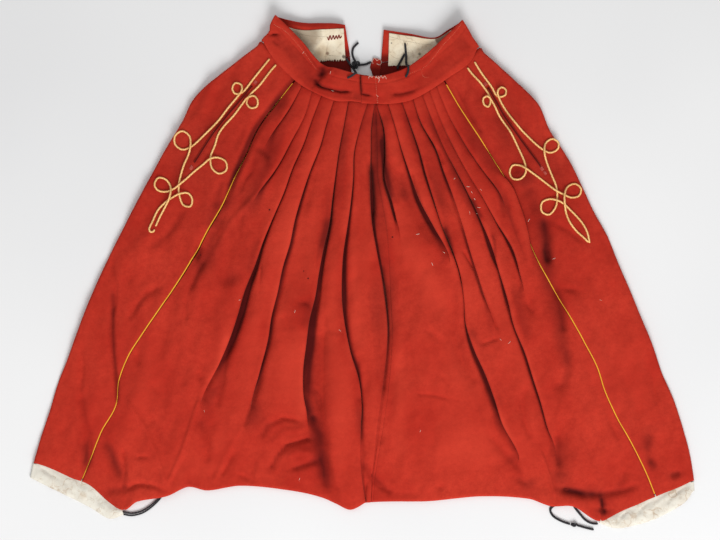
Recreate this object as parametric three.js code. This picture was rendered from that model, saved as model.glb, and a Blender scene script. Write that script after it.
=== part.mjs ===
// Zouave trousers laid flat on their back: red wool body, waistband, linen cuffs, braid and laces.
// Millimetres, +Z up, front of the garment facing up, waist towards +Y, origin under the middle.

import * as THREE from "three";

// Cloth walls, cords and clearances
const woolWall = 2.0;
const bandWall = 2.5;
const linenWall = 1.4;
const facingWall = 1.2;
const gap = 0.3;
const braidSize = 4.4;
const pipingSize = 2.0;
const laceSize = 3.6;
const cordSides = 8;

// Heights of the middle of each wall
const underZ = woolWall / 2;
const bandUnderZ = bandWall / 2;
const bandSeamZ = 17.4;
const hemTopZ = 9.2;
const cuffEdgeZ = 6.8;

// How far panels reach under one another
const bandTuck = 4;
const edgeTurn = 5;
const slitLength = 130;
const centreX = 6;
const lapStep = 3.1;

// Fineness of the faceted cloth
const bodyRows = 19;
const seamRow = 17;
const hemTurnSteps = 4;
const outlineTurnSteps = 4;

const red = { color: 0xb82a20, roughness: 0.9, metalness: 0 };
const cream = { color: 0xe4d8bf, roughness: 0.9, metalness: 0 };
const gold = { color: 0xd9a851, roughness: 0.8, metalness: 0 };
const yellow = { color: 0xe7a21c, roughness: 0.75, metalness: 0 };
const black = { color: 0x232225, roughness: 0.85, metalness: 0 };

// Each row is a line of the body from the waist seam down to the hem, from the outline to the middle.
// top: where it leaves the waistband. x: its place at each eighth of the way down.
// depth: how deep the fold on its inner side is, at each quarter of the way down.
const leftLines = [
  { name: "outline", top: [-170, 390], x: [-170, -281, -333, -381, -427, -467, -500, -530, -558], depth: [0, 0, 0, 0, 0] },
  { name: "piping", top: [-111, 329], x: [-111, -186, -221, -259, -308, -367, -412, -443, -473], depth: [5, 2, 0, 0, 0] },
  { name: "fold7", top: [-104, 317], x: [-104, -154, -199, -246, -287, -327, -359, -388, -405], depth: [7, 3, 0, 0, 0] },
  { name: "fold6", top: [-87, 309], x: [-87, -121, -168, -218, -256, -291, -320, -339, -347], depth: [7, 5, 1, 0, 2] },
  { name: "fold5", top: [-71, 302], x: [-71, -101, -136, -171, -192, -218, -261, -288, -298], depth: [7, 8, 9, 4, 0] },
  { name: "fold4", top: [-49, 297], x: [-49, -75, -102, -128, -149, -160, -184, -206, -214], depth: [7, 7, 8, 6, 3] },
  { name: "fold3", top: [-26, 292], x: [-26, -41, -52, -64, -84, -98, -101, -99, -105], depth: [7, 8, 9, 6, 0] },
  { name: "fold2", top: [7, 288], x: [7, -15, -22, -32, -33, -26, -41, -48, -49], depth: [7, 8, 9, 7, 4] },
  { name: "middle", top: [24, 286], x: [24, 21, 36, 42, 33, 20, 5, -8, -17], depth: [7, 9, 9, 4, 2] },
];
const rightLines = [
  { name: "outline", top: [201, 380], x: [201, 297, 348, 393, 436, 474, 508, 544, 564.3], depth: [0, 0, 0, 0, 0] },
  { name: "piping", top: [138, 327], x: [138, 189, 247, 282, 323, 375, 413, 459, 498], depth: [4, 2, 0, 0, 0] },
  { name: "fold6", top: [128, 317], x: [128, 172, 232, 271, 309, 352, 377, 395, 402], depth: [7, 3, 0, 0, 2] },
  { name: "fold5", top: [116, 310], x: [116, 153, 204, 250, 275, 305, 330, 341, 337], depth: [7, 6, 1, 0, 3] },
  { name: "fold4", top: [104, 303], x: [104, 138, 180, 219, 245, 273, 303, 312, 286], depth: [7, 7, 7, 8, 0] },
  { name: "fold3", top: [88, 298], x: [88, 124, 155, 183, 211, 233, 242, 251, 235], depth: [7, 7, 7, 4, 0] },
  { name: "fold2", top: [69, 293], x: [69, 101, 125, 151, 174, 191, 193, 158, 129], depth: [7, 8, 9, 7, 2] },
  { name: "fold1", top: [46, 290], x: [46, 70, 98, 126, 122, 93, 64, 46, 37], depth: [7, 9, 8, 3, 1] },
  { name: "middle", top: [24, 286], x: [24, 21, 36, 42, 33, 20, 5, -8, -17], depth: [7, 9, 9, 4, 2] },
];

// Lower edge of the wool: cuff seam, bottom of the bag between the legs, cuff seam.
const hemLine = [
  { x: -560, y: -321 }, { x: -530, y: -331 }, { x: -496, y: -347 }, { x: -461, y: -361 },
  { x: -432, y: -387 }, { x: -405, y: -403 }, { x: -382, y: -388 }, { x: -330, y: -378 },
  { x: -296, y: -363 }, { x: -262, y: -369 }, { x: -207, y: -361 }, { x: -122, y: -369 },
  { x: -71, y: -380 }, { x: -32, y: -397 }, { x: -20, y: -402 }, { x: 7, y: -390 },
  { x: 116, y: -387 }, { x: 201, y: -379 }, { x: 282, y: -383 }, { x: 320, y: -395 },
  { x: 359, y: -396 }, { x: 402, y: -421 }, { x: 437, y: -406 }, { x: 500, y: -379 },
  { x: 542, y: -362 }, { x: 565, y: -350 },
];
const bagHalf = 404.5;
const flapDraw = 0.045;
// Seam under the bag, where the rolled hem of each front meets the back.
const underSeam = { left: -345, right: -357 };
// Places along the hem where a leg tie comes out from under it.
const tiePlaces = [-345, 343];
const tieHalf = 30;
const tieRise = 4.3;

// Height of the upper cloth down the body: at the outline, and where it is fullest.
const crown = [
  { down: 0, edge: 14.6, full: 14.6 }, { down: 0.12, edge: 11, full: 14 }, { down: 0.35, edge: 9, full: 13.4 },
  { down: 0.6, edge: 8.4, full: 13 }, { down: 0.85, edge: 7.6, full: 12 }, { down: 1, edge: 6.8, full: 9.2 },
];

// Waistband, from each folded corner to the middle of the front: both edges, and the rise of the upper.
const leftBand = [
  { lower: [-170, 390], upper: [-145, 433.6], rise: 5 }, { lower: [-145, 356], upper: [-104, 393], rise: 5 },
  { lower: [-103, 317], upper: [-70, 354], rise: 4 }, { lower: [-51, 292], upper: [-42, 344], rise: 4 },
  { lower: [-15, 289], upper: [-8, 335], rise: 3 }, { lower: [16, 285], upper: [16, 331], rise: 0 },
];
const rightBand = [
  { lower: [201, 380], upper: [168, 425], rise: 6 }, { lower: [180, 353], upper: [148, 405], rise: 5 },
  { lower: [147, 330], upper: [120, 379], rise: 5 }, { lower: [115, 308], upper: [87, 353], rise: 4 },
  { lower: [82, 291], upper: [67, 342], rise: 3 }, { lower: [49, 285], upper: [42, 334], rise: 3 },
  { lower: [24, 285], upper: [24, 331], rise: 3 }, { lower: [-1, 286], upper: [-1, 332], rise: 3 },
];
// Back of the waistband: end of its straight lower edge, then from the corner to the laced end
// how far along it is, its upper edge and the height of its middle.
const leftBandBack = {
  end: [-20, 366],
  rows: [
    { along: 0.2, upper: [-122, 427], z: 2.6 }, { along: 0.47, upper: [-94, 423], z: 1.25 },
    { along: 0.73, upper: [-48, 422], z: 1.25 }, { along: 1, upper: [-29, 420], z: 1.25 },
  ],
};
const rightBandBack = {
  end: [32, 357],
  rows: [
    { along: 0.2, upper: [146, 411], z: 2.6 }, { along: 0.47, upper: [121, 398], z: 1.25 },
    { along: 0.75, upper: [80, 405], z: 1.25 }, { along: 1, upper: [37, 412], z: 1.25 },
  ],
};

// Linen facings inside the two back ends: outer, then end edge, each upper and lower.
const facingCorners = {
  left: { outerTop: [-124, 417], outerLow: [-96, 362], endTop: [-34, 414], endLow: [-32, 360] },
  right: { outerTop: [124, 391], outerLow: [112, 352], endTop: [47, 404], endLow: [44, 350] },
};

// Linen cuffs from the outer fold to the open inner end: the wool's edge, and the cuff's own lower edge.
const leftCuff = [
  { seam: [-556, -323], edge: [-563, -349] }, { seam: [-531, -331], edge: [-537, -366] },
  { seam: [-496, -347], edge: [-501, -382] }, { seam: [-461, -361], edge: [-461, -399] },
  { seam: [-434, -385], edge: [-427, -420] }, { seam: [-407, -402], edge: [-408, -416] },
];
const rightCuff = [
  { seam: [561, -354], edge: [563, -374] }, { seam: [542, -362], edge: [541, -391] },
  { seam: [500, -379], edge: [500, -415] }, { seam: [466, -394], edge: [466, -428] },
  { seam: [437, -406], edge: [434, -435] }, { seam: [408, -419], edge: [410, -430] },
];
const cuffTuck = 4;
const cuffInset = 1.2;
const cuffGap = 2.6;
const cuffLowerZ = linenWall / 2;
const cuffUpperZ = cuffLowerZ + linenWall + cuffGap;

// Braid routes on the hips: x, y, and how far the cord is lifted where it crosses over another.
const over = braidSize + 1;
const braidRoutes = {
  braid_left_outer: [
    [-156, 361, 0], [-182, 329, 0], [-203, 304, 0], [-214, 302, 0], [-219, 311, 0], [-214, 320, 0], [-204, 317, 0],
    [-203, 307, over], [-211, 296, 0], [-226, 278, 0], [-244, 255, 0], [-264, 235, 0], [-289, 213, 0],
    [-304, 208, 0], [-316, 217, 0], [-316, 231, 0], [-304, 239, 0], [-292, 231, 0], [-290, 213, over],
    [-294, 198, 0], [-301, 182, 0], [-307, 162, 0], [-310, 145, 0], [-309, 130, 0], [-302, 114, 0],
    [-290, 112, 0], [-287, 124, 0], [-294, 134, 0], [-308, 133, over], [-319, 128, 0], [-332, 119, 0],
    [-345, 106, 0], [-354, 87, 0], [-359, 71, 0],
  ],
  braid_left_inner: [
    [-145, 351, 0], [-154, 341, 0], [-173, 316, 0], [-190, 299, 0], [-195, 287, 0], [-188, 278, 0], [-178, 280, 0],
    [-176, 290, 0], [-182, 298, 0], [-193, 295, over], [-203, 284, 0], [-216, 266, 0], [-235, 245, 0],
    [-243, 232, 0], [-248, 216, 0], [-256, 194, 0], [-253, 176, 0], [-241, 167, 0], [-229, 173, 0],
    [-230, 187, 0], [-243, 194, 0], [-256, 192, over], [-268, 183, 0], [-284, 170, 0], [-296, 159, 0],
    [-309, 148, over], [-318, 142, 0], [-330, 137, 0], [-345, 139, 0], [-351, 149, 0], [-345, 160, 0],
    [-333, 158, 0], [-325, 148, 0], [-323, 138, over], [-326, 124, over], [-334, 109, 0], [-343, 92, 0],
    [-350, 75, 0],
  ],
  braid_right_outer: [
    [190, 356, 0], [201, 338, 0], [220, 312, 0], [226, 301, 0], [232, 297, 0], [242, 300, 0], [243, 309, 0],
    [236, 313, 0], [229, 306, over], [233, 292, 0], [254, 259, 0], [282, 228, 0], [304, 209, 0],
    [319, 203, 0], [331, 209, 0], [332, 220, 0], [322, 226, 0], [311, 219, 0], [308, 205, over],
    [312, 188, 0], [321, 164, 0], [328, 146, 0], [330, 128, 0], [327, 110, 0], [316, 98, 0], [304, 103, 0],
    [304, 118, 0], [316, 124, 0], [329, 122, over], [341, 116, 0], [352, 106, 0], [363, 95, 0],
    [374, 82, 0], [382, 67, 0], [387, 52, 0],
  ],
  braid_right_inner: [
    [178, 346, 0], [187, 334, 0], [201, 319, 0], [213, 302, 0], [217, 289, 0], [213, 280, 0], [206, 284, 0],
    [205, 294, 0], [212, 297, over], [221, 287, 0], [232, 266, 0], [251, 238, 0], [266, 207, 0],
    [275, 184, 0], [276, 168, 0], [267, 158, 0], [255, 159, 0], [250, 170, 0], [255, 181, 0],
    [266, 181, 0], [277, 175, over], [289, 167, 0], [304, 156, 0], [316, 147, 0], [328, 138, over],
    [341, 132, 0], [354, 127, 0], [367, 130, 0], [370, 142, 0], [360, 150, 0], [348, 145, 0],
    [342, 132, over], [342, 116, over], [345, 100, 0], [352, 84, 0], [363, 70, 0], [377, 57, 0],
  ],
};

// Pocket mouths between the braids: upper end and lower end of the folded lip.
const pocketWidth = 5;
const pocketWall = 1.2;
const pocketRoutes = {
  pocket_left: [[-186, 315], [-206, 291], [-249, 238], [-283, 186]],
  pocket_right: [[213, 312], [245, 259], [277, 213], [301, 179]],
};

// Free laces and ties: x, y and the height of the cord's underside above what it lies on.
const laceRoutes = {
  waist_lace_left_upper: [[-11.2, 358.2], [-16, 369], [-15, 381], [-6, 391]],
  waist_lace_left_lower: [[-27, 364], [-22, 356], [-17.8, 350], [-12, 342], [-10, 338], [-15, 333], [-25, 327]],
  waist_lace_left_side: [[-4, 352.8], [5, 354], [15, 358]],
  waist_lace_right_upper: [[73, 388], [74, 377], [75, 366], [75, 355], [78, 346], [77, 336], [73, 329]],
  waist_lace_right_lower: [[69, 370], [66, 360], [62, 352], [60, 345]],
  leg_tie_left: [[-406.6, -408.6], [-393, -411], [-384, -410], [-374, -407], [-362, -400], [-348, -388], [-341, -380]],
  leg_tie_right_loose: [[336, -391], [327, -396], [320, -403], [324, -413], [338, -422], [353.8, -427.8]],
  leg_tie_right_end: [[366.4, -429.7], [381, -434], [394, -437]],
  leg_tie_right_cuff: [[355, -388], [362, -400], [370, -410], [379, -420], [390, -426], [401, -427]],
};
const knots = {
  waist_knot_left: { at: [-10.3, 353], size: [12, 9, 6], onBand: true },
  leg_tie_knot_right: { at: [360, -428.5], size: [13, 7, 6], onBand: false },
};

// ---- curves through the tables ----

function mix(a, b, t) {
  return a + (b - a) * t;
}

function ease(from, to, value) {
  const t = THREE.MathUtils.clamp((value - from) / (to - from), 0, 1);
  return t * t * (3 - 2 * t);
}

// Smooth value through numbers at equal steps, t from 0 to 1, straight on beyond the ends.
function through(values, t) {
  const last = values.length - 1;
  const place = THREE.MathUtils.clamp(t, 0, 1) * last;
  const i = Math.min(Math.floor(place), last - 1);
  const f = place - i;
  const before = values[Math.max(i - 1, 0)];
  const after = values[Math.min(i + 2, last)];
  const slopeA = (values[i + 1] - before) / (i > 0 ? 2 : 1);
  const slopeB = (after - values[i]) / (i + 2 <= last ? 2 : 1);
  const f2 = f * f;
  const f3 = f2 * f;
  const inside = (2 * f3 - 3 * f2 + 1) * values[i] + (f3 - 2 * f2 + f) * slopeA
    + (3 * f2 - 2 * f3) * values[i + 1] + (f3 - f2) * slopeB;
  return inside + (t - THREE.MathUtils.clamp(t, 0, 1)) * last * (values[1] - values[0]);
}

// Smooth value of one column of a table against another column that grows.
function lookUp(rows, along, key, at) {
  let i = 0;
  while (i < rows.length - 2 && rows[i + 1][along] < at) i += 1;
  const a = rows[i];
  const b = rows[i + 1];
  const slope = (p, q) => (q[key] - p[key]) / (q[along] - p[along]);
  const slopeA = i > 0 ? slope(rows[i - 1], b) : slope(a, b);
  const slopeB = i + 2 < rows.length ? slope(a, rows[i + 2]) : slope(a, b);
  const span = b[along] - a[along];
  const f = THREE.MathUtils.clamp((at - a[along]) / span, 0, 1);
  const f2 = f * f;
  const f3 = f2 * f;
  return (2 * f3 - 3 * f2 + 1) * a[key] + (f3 - 2 * f2 + f) * span * slopeA
    + (3 * f2 - 2 * f3) * b[key] + (f3 - f2) * span * slopeB;
}

// Smooth point along a table of edge points, t from 0 to 1.
function edgePoint(rows, key, t) {
  return [through(rows.map((row) => row[key][0]), t), through(rows.map((row) => row[key][1]), t)];
}

// ---- cloth and cords ----

// A wall of even thickness on both sides of a sheet of points joined by four-sided faces.
function clothWall(allPoints, allFaces, thickness) {
  const used = [...new Set(allFaces.flat())];
  const renumbered = new Map(used.map((old, i) => [old, i]));
  const points = used.map((old) => allPoints[old]);
  const faces = allFaces.map((face) => face.map((old) => renumbered.get(old)));
  const normals = points.map(() => new THREE.Vector3());
  const diagonalA = new THREE.Vector3();
  const diagonalB = new THREE.Vector3();
  for (const [a, b, c, d] of faces) {
    diagonalA.subVectors(points[c], points[a]);
    diagonalB.subVectors(points[d], points[b]);
    const faceNormal = new THREE.Vector3().crossVectors(diagonalA, diagonalB).normalize();
    for (const corner of [a, b, c, d]) normals[corner].add(faceNormal);
  }
  const count = points.length;
  const positions = new Float32Array(count * 6);
  points.forEach((point, i) => {
    const shift = normals[i].normalize().multiplyScalar(thickness / 2);
    positions.set([point.x + shift.x, point.y + shift.y, point.z + shift.z], i * 3);
    positions.set([point.x - shift.x, point.y - shift.y, point.z - shift.z], (count + i) * 3);
  });
  const edges = new Set();
  for (const face of faces) face.forEach((a, i) => edges.add(`${a} ${face[(i + 1) % 4]}`));
  const index = [];
  for (const face of faces) {
    const [a, b, c, d] = face;
    index.push(a, b, c, a, c, d);
    index.push(count + a, count + c, count + b, count + a, count + d, count + c);
    face.forEach((from, i) => {
      const to = face[(i + 1) % 4];
      if (edges.has(`${to} ${from}`)) return;
      index.push(to, from, count + from, to, count + from, count + to);
    });
  }
  const geometry = new THREE.BufferGeometry();
  geometry.setAttribute("position", new THREE.BufferAttribute(positions, 3));
  geometry.setIndex(index);
  geometry.computeVertexNormals();
  return geometry;
}

// A wall from rows of points of equal length. turned: the rows run the other way round.
// kept: which of the four-sided faces between the rows are there.
function wallFromRows(rows, thickness, turned, kept = () => true) {
  const width = rows[0].length;
  const faces = [];
  for (let r = 0; r + 1 < rows.length; r += 1) {
    for (let c = 0; c + 1 < width; c += 1) {
      const a = r * width + c;
      const around = [a, a + width, a + width + 1, a + 1];
      if (kept(r, c)) faces.push(turned ? around.reverse() : around);
    }
  }
  return clothWall(rows.flat(), faces, thickness);
}

function cordSection(size, sides) {
  const shape = new THREE.Shape();
  for (let i = 0; i < sides; i += 1) {
    const angle = (2 * Math.PI * (i + 0.5)) / sides;
    const x = (size / 2) * Math.cos(angle);
    const y = (size / 2) * Math.sin(angle);
    if (i === 0) shape.moveTo(x, y);
    else shape.lineTo(x, y);
  }
  shape.closePath();
  return shape;
}

function cordGeometry(points, size, stepLength) {
  const path = new THREE.CatmullRomCurve3(points, false, "centripetal");
  const steps = Math.max(4, Math.round(path.getLength() / stepLength));
  return new THREE.ExtrudeGeometry(cordSection(size, cordSides), { steps, extrudePath: path, bevelEnabled: false });
}

const part = new THREE.Group();
const pieces = {};

function addPiece(name, geometry, look) {
  const mesh = new THREE.Mesh(geometry, new THREE.MeshStandardMaterial(look));
  mesh.name = name;
  pieces[name] = mesh;
  part.add(mesh);
  return mesh;
}

// Height of the top of the named pieces at a place, or of the floor where none lies.
function topAt(names, x, y) {
  const down = new THREE.Raycaster(new THREE.Vector3(x, y, 500), new THREE.Vector3(0, 0, -1));
  const hits = down.intersectObjects(names.map((name) => pieces[name]), false);
  return hits.length > 0 ? hits[0].point.z : 0;
}

// ---- shape of the body ----

function hemAt(x) {
  return lookUp(hemLine, "x", "y", x);
}

// A place on a line of the body, down from 0 at the waist seam to 1 at the hem.
function onLine(line, down) {
  const hemY = hemAt(line.x[line.x.length - 1]);
  return [through(line.x, down), mix(line.top[1], hemY, down)];
}

// How much of a point lies on the bottom of the bag rather than at a cuff.
function bagShare(x) {
  return 1 - ease(bagHalf - 16, bagHalf + 16, Math.abs(x));
}

// The ties pass under the hem here, so its edge is lifted.
function tieLift(x) {
  const nearest = Math.min(...tiePlaces.map((place) => Math.abs(x - place)));
  return tieRise * (1 - ease(tieHalf, tieHalf + 25, nearest));
}

function crownAt(lines, x, down) {
  const outer = onLine(lines[0], down)[0];
  const middle = onLine(lines[lines.length - 1], down)[0];
  const inwards = THREE.MathUtils.clamp((x - outer) / (middle - outer), 0, 1);
  const edge = lookUp(crown, "down", "edge", down);
  const bottom = mix(cuffEdgeZ, hemTopZ, bagShare(x));
  const full = mix(lookUp(crown, "down", "full", down), bottom, ease(0.88, 1, down));
  return mix(Math.min(edge, full), full, ease(0, 0.3, inwards)) + tieLift(x) * ease(0.93, 1, down);
}

// The point between two neighbouring lines; across runs from 0 on the outer line to 1 on the inner.
function between(outer, inner, across, down) {
  const [xA, yA] = onLine(outer, down);
  const [xB, yB] = onLine(inner, down);
  const x = mix(xA, xB, across);
  const straight = mix(yA, yB, across);
  const ends = mix(hemAt(outer.x[8]), hemAt(inner.x[8]), across);
  const hemX = mix(outer.x[8], inner.x[8], across);
  return [x, straight + (hemAt(hemX) - ends) * ease(0.55, 1, down)];
}

const seamDown = seamRow / bodyRows;
const bodySteps = Array.from({ length: bodyRows + 1 }, (unused, i) => i / bodyRows);

// Half the width left for the piping, measured along X, so it grows where the seam slants.
function seamHalf(line, down) {
  const [x0, y0] = onLine(line, Math.max(0, down - 0.02));
  const [x1, y1] = onLine(line, Math.min(1, down + 0.02));
  return (pipingSize / 2 + gap + 0.4) * Math.hypot((x1 - x0) / (y1 - y0), 1);
}

// Rows of one pleated front: the folded edge of each line is high, its inner side low.
function frontRows(lines, side) {
  const fronts = lines.slice(1);
  const inner = fronts.length - 1;
  const rows = bodySteps.map((down) => {
    const row = [];
    for (let i = 0; i < inner; i += 1) {
      const [xA] = onLine(fronts[i], down);
      const [xB] = onLine(fronts[i + 1], down);
      const width = Math.abs(xB - xA);
      const depth = Math.max(0, through(fronts[i].depth, down));
      const next = i + 1 === inner ? Math.max(0, through(fronts[inner].depth, down)) : 0;
      const first = i === 0 ? seamHalf(fronts[0], down) / width : 0;
      const across = i === 0 ? [first, 0.3, 0.65] : [0, Math.min(0.3, 3.6 / width), 0.55];
      const drops = i === 0 ? [depth, depth * 0.7, 0] : [0, depth, depth * 0.45];
      across.forEach((t, k) => {
        const [x, y] = between(fronts[i], fronts[i + 1], t, down);
        row.push(new THREE.Vector3(x, y, crownAt(lines, x, down) - mix(drops[k], next, k === 2 ? 0.5 * t : 0)));
      });
    }
    const [x, y] = between(fronts[inner - 1], fronts[inner], 1, down);
    const depth = Math.max(0, through(fronts[inner].depth, down));
    row.push(new THREE.Vector3(x + side * (gap / 2 + 0.2), y, crownAt(lines, x, down) - depth));
    return row;
  });
  for (const point of rows[0]) point.y += bandTuck;
  for (const point of rows[bodyRows]) {
    if (Math.abs(point.x) < bagHalf) point.y += (point.z - underZ - tieLift(point.x)) / 2;
  }
  return rows;
}

// The front's lower edge rolls under between the cuffs and lies flat on the way back.
function frontPanel(lines, side, seamY) {
  const rows = frontRows(lines, side);
  const points = rows.flat();
  const width = rows[0].length;
  const faces = [];
  const addFace = (a, b, c, d) => faces.push(side < 0 ? [a, b, c, d] : [d, c, b, a]);
  for (let r = 0; r + 1 < rows.length; r += 1) {
    for (let c = 0; c + 1 < width; c += 1) {
      const a = r * width + c;
      addFace(a, a + width, a + width + 1, a + 1);
    }
  }
  const bottom = rows[rows.length - 1];
  const firstRolled = bottom.findIndex((point) => Math.abs(point.x) < bagHalf);
  let previous = bottom.map((unused, c) => (rows.length - 1) * width + c);
  for (let step = 1; step <= hemTurnSteps + 1; step += 1) {
    const current = previous.slice();
    for (let c = firstRolled; c < width; c += 1) {
      const start = bottom[c];
      const low = underZ + tieLift(start.x);
      const reach = (start.z - low) / 2;
      const angle = (Math.PI * Math.min(step, hemTurnSteps)) / hemTurnSteps;
      const y = step > hemTurnSteps ? seamY - gap - 0.1 : start.y - reach * Math.sin(angle);
      const x = step > hemTurnSteps ? mix(start.x, centreX, flapDraw) : start.x;
      current[c] = points.length;
      points.push(new THREE.Vector3(x, y, low + reach * (1 + Math.cos(angle))));
    }
    for (let c = firstRolled; c + 1 < width; c += 1) {
      addFace(previous[c], current[c], current[c + 1], previous[c + 1]);
    }
    previous = current;
  }
  return clothWall(points, faces, woolWall);
}

// The back goes from the piping over the hip, round the outline, and under to the seam at the middle.
function backPanel(lines, bandEnd, side, seamY) {
  const [outline, piping] = lines;
  const hemPlaces = [530, 498, 464, 435, bagHalf, 270, 135].map((x) => side * x);
  const rows = bodySteps.map((down) => {
    const row = [];
    const [xEdge] = onLine(outline, down);
    const [xSeam] = onLine(piping, down);
    const width = Math.abs(xSeam - xEdge);
    const seamDrop = Math.max(0, through(piping.depth, down));
    const turnIn = edgeTurn / width;
    const atSeam = 1 - seamHalf(piping, down) / width;
    for (const across of [atSeam, mix(atSeam, turnIn, 0.22), 0.5, 0.25, turnIn]) {
      const [x, y] = between(outline, piping, across, down);
      const tuck = down === 0 ? mix(-gap - 0.1, bandTuck, ease(0.1, 0.45, across)) : 0;
      const drop = across === atSeam ? seamDrop : 0;
      row.push(new THREE.Vector3(x, y + tuck, crownAt(lines, x, down) - drop));
    }
    const rim = row[row.length - 1];
    const high = (rim.z - underZ) / 2;
    for (let step = 1; step <= outlineTurnSteps; step += 1) {
      const angle = (Math.PI * step) / outlineTurnSteps;
      const out = edgeTurn * Math.sin(angle);
      row.push(new THREE.Vector3(rim.x + side * out, rim.y, underZ + high * (1 + Math.cos(angle))));
    }
    const slit = (1 - ease(0, 1, (down * (bandEnd[1] - seamY)) / slitLength)) * Math.abs(bandEnd[0] - centreX);
    const xInner = centreX + side * (slit + 0.2);
    const rimHem = outline.x[8] - side * edgeTurn;
    for (const hemX of [...hemPlaces, centreX]) {
      const t = (hemX - rimHem) / (centreX - rimHem);
      const x = mix(rim.x, xInner, t);
      const topX = mix(outline.top[0], bandEnd[0] + side * 0.2, t);
      const topY = mix(outline.top[1], bandEnd[1], (topX - outline.top[0]) / (bandEnd[0] - outline.top[0]));
      const hemY = hemAt(hemX);
      const atSeamRow = mix(mix(topY, hemY, seamDown), seamY, 1 - ease(bagHalf, 540, Math.abs(hemX)));
      const above = mix(topY - gap - 0.4, atSeamRow, Math.min(1, down / seamDown));
      const y = down <= seamDown ? above : mix(above, hemY, (down - seamDown) / (1 - seamDown));
      row.push(new THREE.Vector3(x, y, underZ));
    }
    return row;
  });
  const bagColumn = rows[0].length - 4;
  return wallFromRows(rows, woolWall, side < 0, (r, c) => r < seamRow || c < bagColumn);
}

addPiece("front_left", frontPanel(leftLines, -1, underSeam.left), red);
addPiece("front_right", frontPanel(rightLines, 1, underSeam.right), red);
addPiece("back_left", backPanel(leftLines, leftBandBack.end, -1, underSeam.left), red);
addPiece("back_right", backPanel(rightLines, rightBandBack.end, 1, underSeam.right), red);

// ---- waistband, facings and cuffs ----

const bandSteps = 4;

function bandRow(lower, upper, zLower, zUpper) {
  return Array.from({ length: bandSteps + 1 }, (unused, i) => {
    const t = i / bandSteps;
    return new THREE.Vector3(mix(lower[0], upper[0], t), mix(lower[1], upper[1], t), mix(zLower, zUpper, t));
  });
}

// One strip: laced end at the back, round the corner, and along the front to the middle.
function waistband(front, back, side) {
  const rows = [];
  const frontCount = 15;
  for (let i = frontCount; i >= 0; i -= 1) {
    const t = i / frontCount;
    const lower = edgePoint(front, "lower", t);
    const upper = edgePoint(front, "upper", t);
    const rise = through(front.map((row) => row.rise), t);
    const lap = side > 0 ? lapStep * ease(0.72, 0.85, t) : 0;
    rows.push(bandRow(lower, upper, bandSeamZ + lap, bandSeamZ + rise + lap));
  }
  const rim = rows[rows.length - 1];
  for (const turn of [0.25, 0.5, 0.75]) {
    const angle = Math.PI * turn;
    rows.push(rim.map((point) => {
      const low = 6;
      const high = (point.z - low) / 2;
      return new THREE.Vector3(point.x + side * 3 * Math.sin(angle), point.y, low + high * (1 + Math.cos(angle)));
    }));
  }
  const backCount = 8;
  const corner = front[0];
  const backRows = [{ along: 0, upper: corner.upper, z: 4 }, ...back.rows];
  const uppers = backRows.map((row) => ({ along: row.along, x: row.upper[0], y: row.upper[1], z: row.z }));
  for (let i = 1; i <= backCount; i += 1) {
    const t = i / backCount;
    const lower = [mix(corner.lower[0], back.end[0], t), mix(corner.lower[1], back.end[1], t)];
    const upper = [lookUp(uppers, "along", "x", t), lookUp(uppers, "along", "y", t)];
    const z = Math.max(bandUnderZ, lookUp(uppers, "along", "z", t));
    rows.push(bandRow(lower, upper, z, z));
  }
  return wallFromRows(rows, bandWall, side > 0);
}

addPiece("waistband_left", waistband(leftBand, leftBandBack, -1), red);
addPiece("waistband_right", waistband(rightBand, rightBandBack, 1), red);

function facing(corners, side) {
  const cornerLift = 1.5;
  const rows = [0, 0.25, 0.5, 0.75, 1].map((t) => {
    const z = bandWall + gap + facingWall / 2 + 0.1 + cornerLift * (1 - ease(0, 0.5, t));
    const top = [mix(corners.outerTop[0], corners.endTop[0], t), mix(corners.outerTop[1], corners.endTop[1], t)];
    const low = [mix(corners.outerLow[0], corners.endLow[0], t), mix(corners.outerLow[1], corners.endLow[1], t)];
    return [0, 0.5, 1].map((f) => {
      const x = mix(top[0], low[0], f);
      const y = mix(top[1], low[1], f);
      return new THREE.Vector3(x, y, z);
    });
  });
  return wallFromRows(rows, facingWall, side > 0);
}

addPiece("facing_left", facing(facingCorners.left, -1), cream);
addPiece("facing_right", facing(facingCorners.right, 1), cream);

// A flattened band, open at its inner end: along the underside, round the outer fold, back on top.
function cuff(rows, side) {
  const count = 8;
  const across = [0, 0.5, 1];
  const strip = (t, z, inset) => {
    const seam = edgePoint(rows, "seam", t);
    const edge = edgePoint(rows, "edge", t);
    const length = Math.hypot(edge[0] - seam[0], edge[1] - seam[1]);
    return across.map((f) => {
      const along = mix(inset / length, 1, f);
      return new THREE.Vector3(mix(seam[0], edge[0], along), mix(seam[1], edge[1], along), z);
    });
  };
  const points = [];
  for (let i = count; i >= 0; i -= 1) points.push(strip(i / count, cuffLowerZ, cuffInset + 0.6));
  const high = (cuffUpperZ - cuffLowerZ) / 2;
  for (const turn of [0.33, 0.67]) {
    const out = high * Math.sin(Math.PI * turn);
    const z = cuffLowerZ + high * (1 - Math.cos(Math.PI * turn));
    points.push(strip(0, z, cuffInset).map((point) => point.add(new THREE.Vector3(side * out, 0, 0))));
  }
  for (let i = 0; i <= count; i += 1) {
    points.push(strip(i / count, cuffUpperZ, mix(cuffInset, -cuffTuck, ease(0.05, 0.3, i / count))));
  }
  return wallFromRows(points, linenWall, side < 0);
}

addPiece("cuff_left", cuff(leftCuff, -1), cream);
addPiece("cuff_right", cuff(rightCuff, 1), cream);

// ---- piping, braid and pockets ----

function piping(name, lines) {
  const points = [];
  for (let i = 0; i <= 24; i += 1) {
    const down = mix(0.012, 0.992, i / 24);
    const [x, y] = onLine(lines[1], down);
    const drop = Math.max(0, through(lines[1].depth, down));
    points.push(new THREE.Vector3(x, y, crownAt(lines, x, down) - drop + 0.3));
  }
  addPiece(name, cordGeometry(points, pipingSize, 26), yellow);
}

piping("piping_left", leftLines);
piping("piping_right", rightLines);

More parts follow.
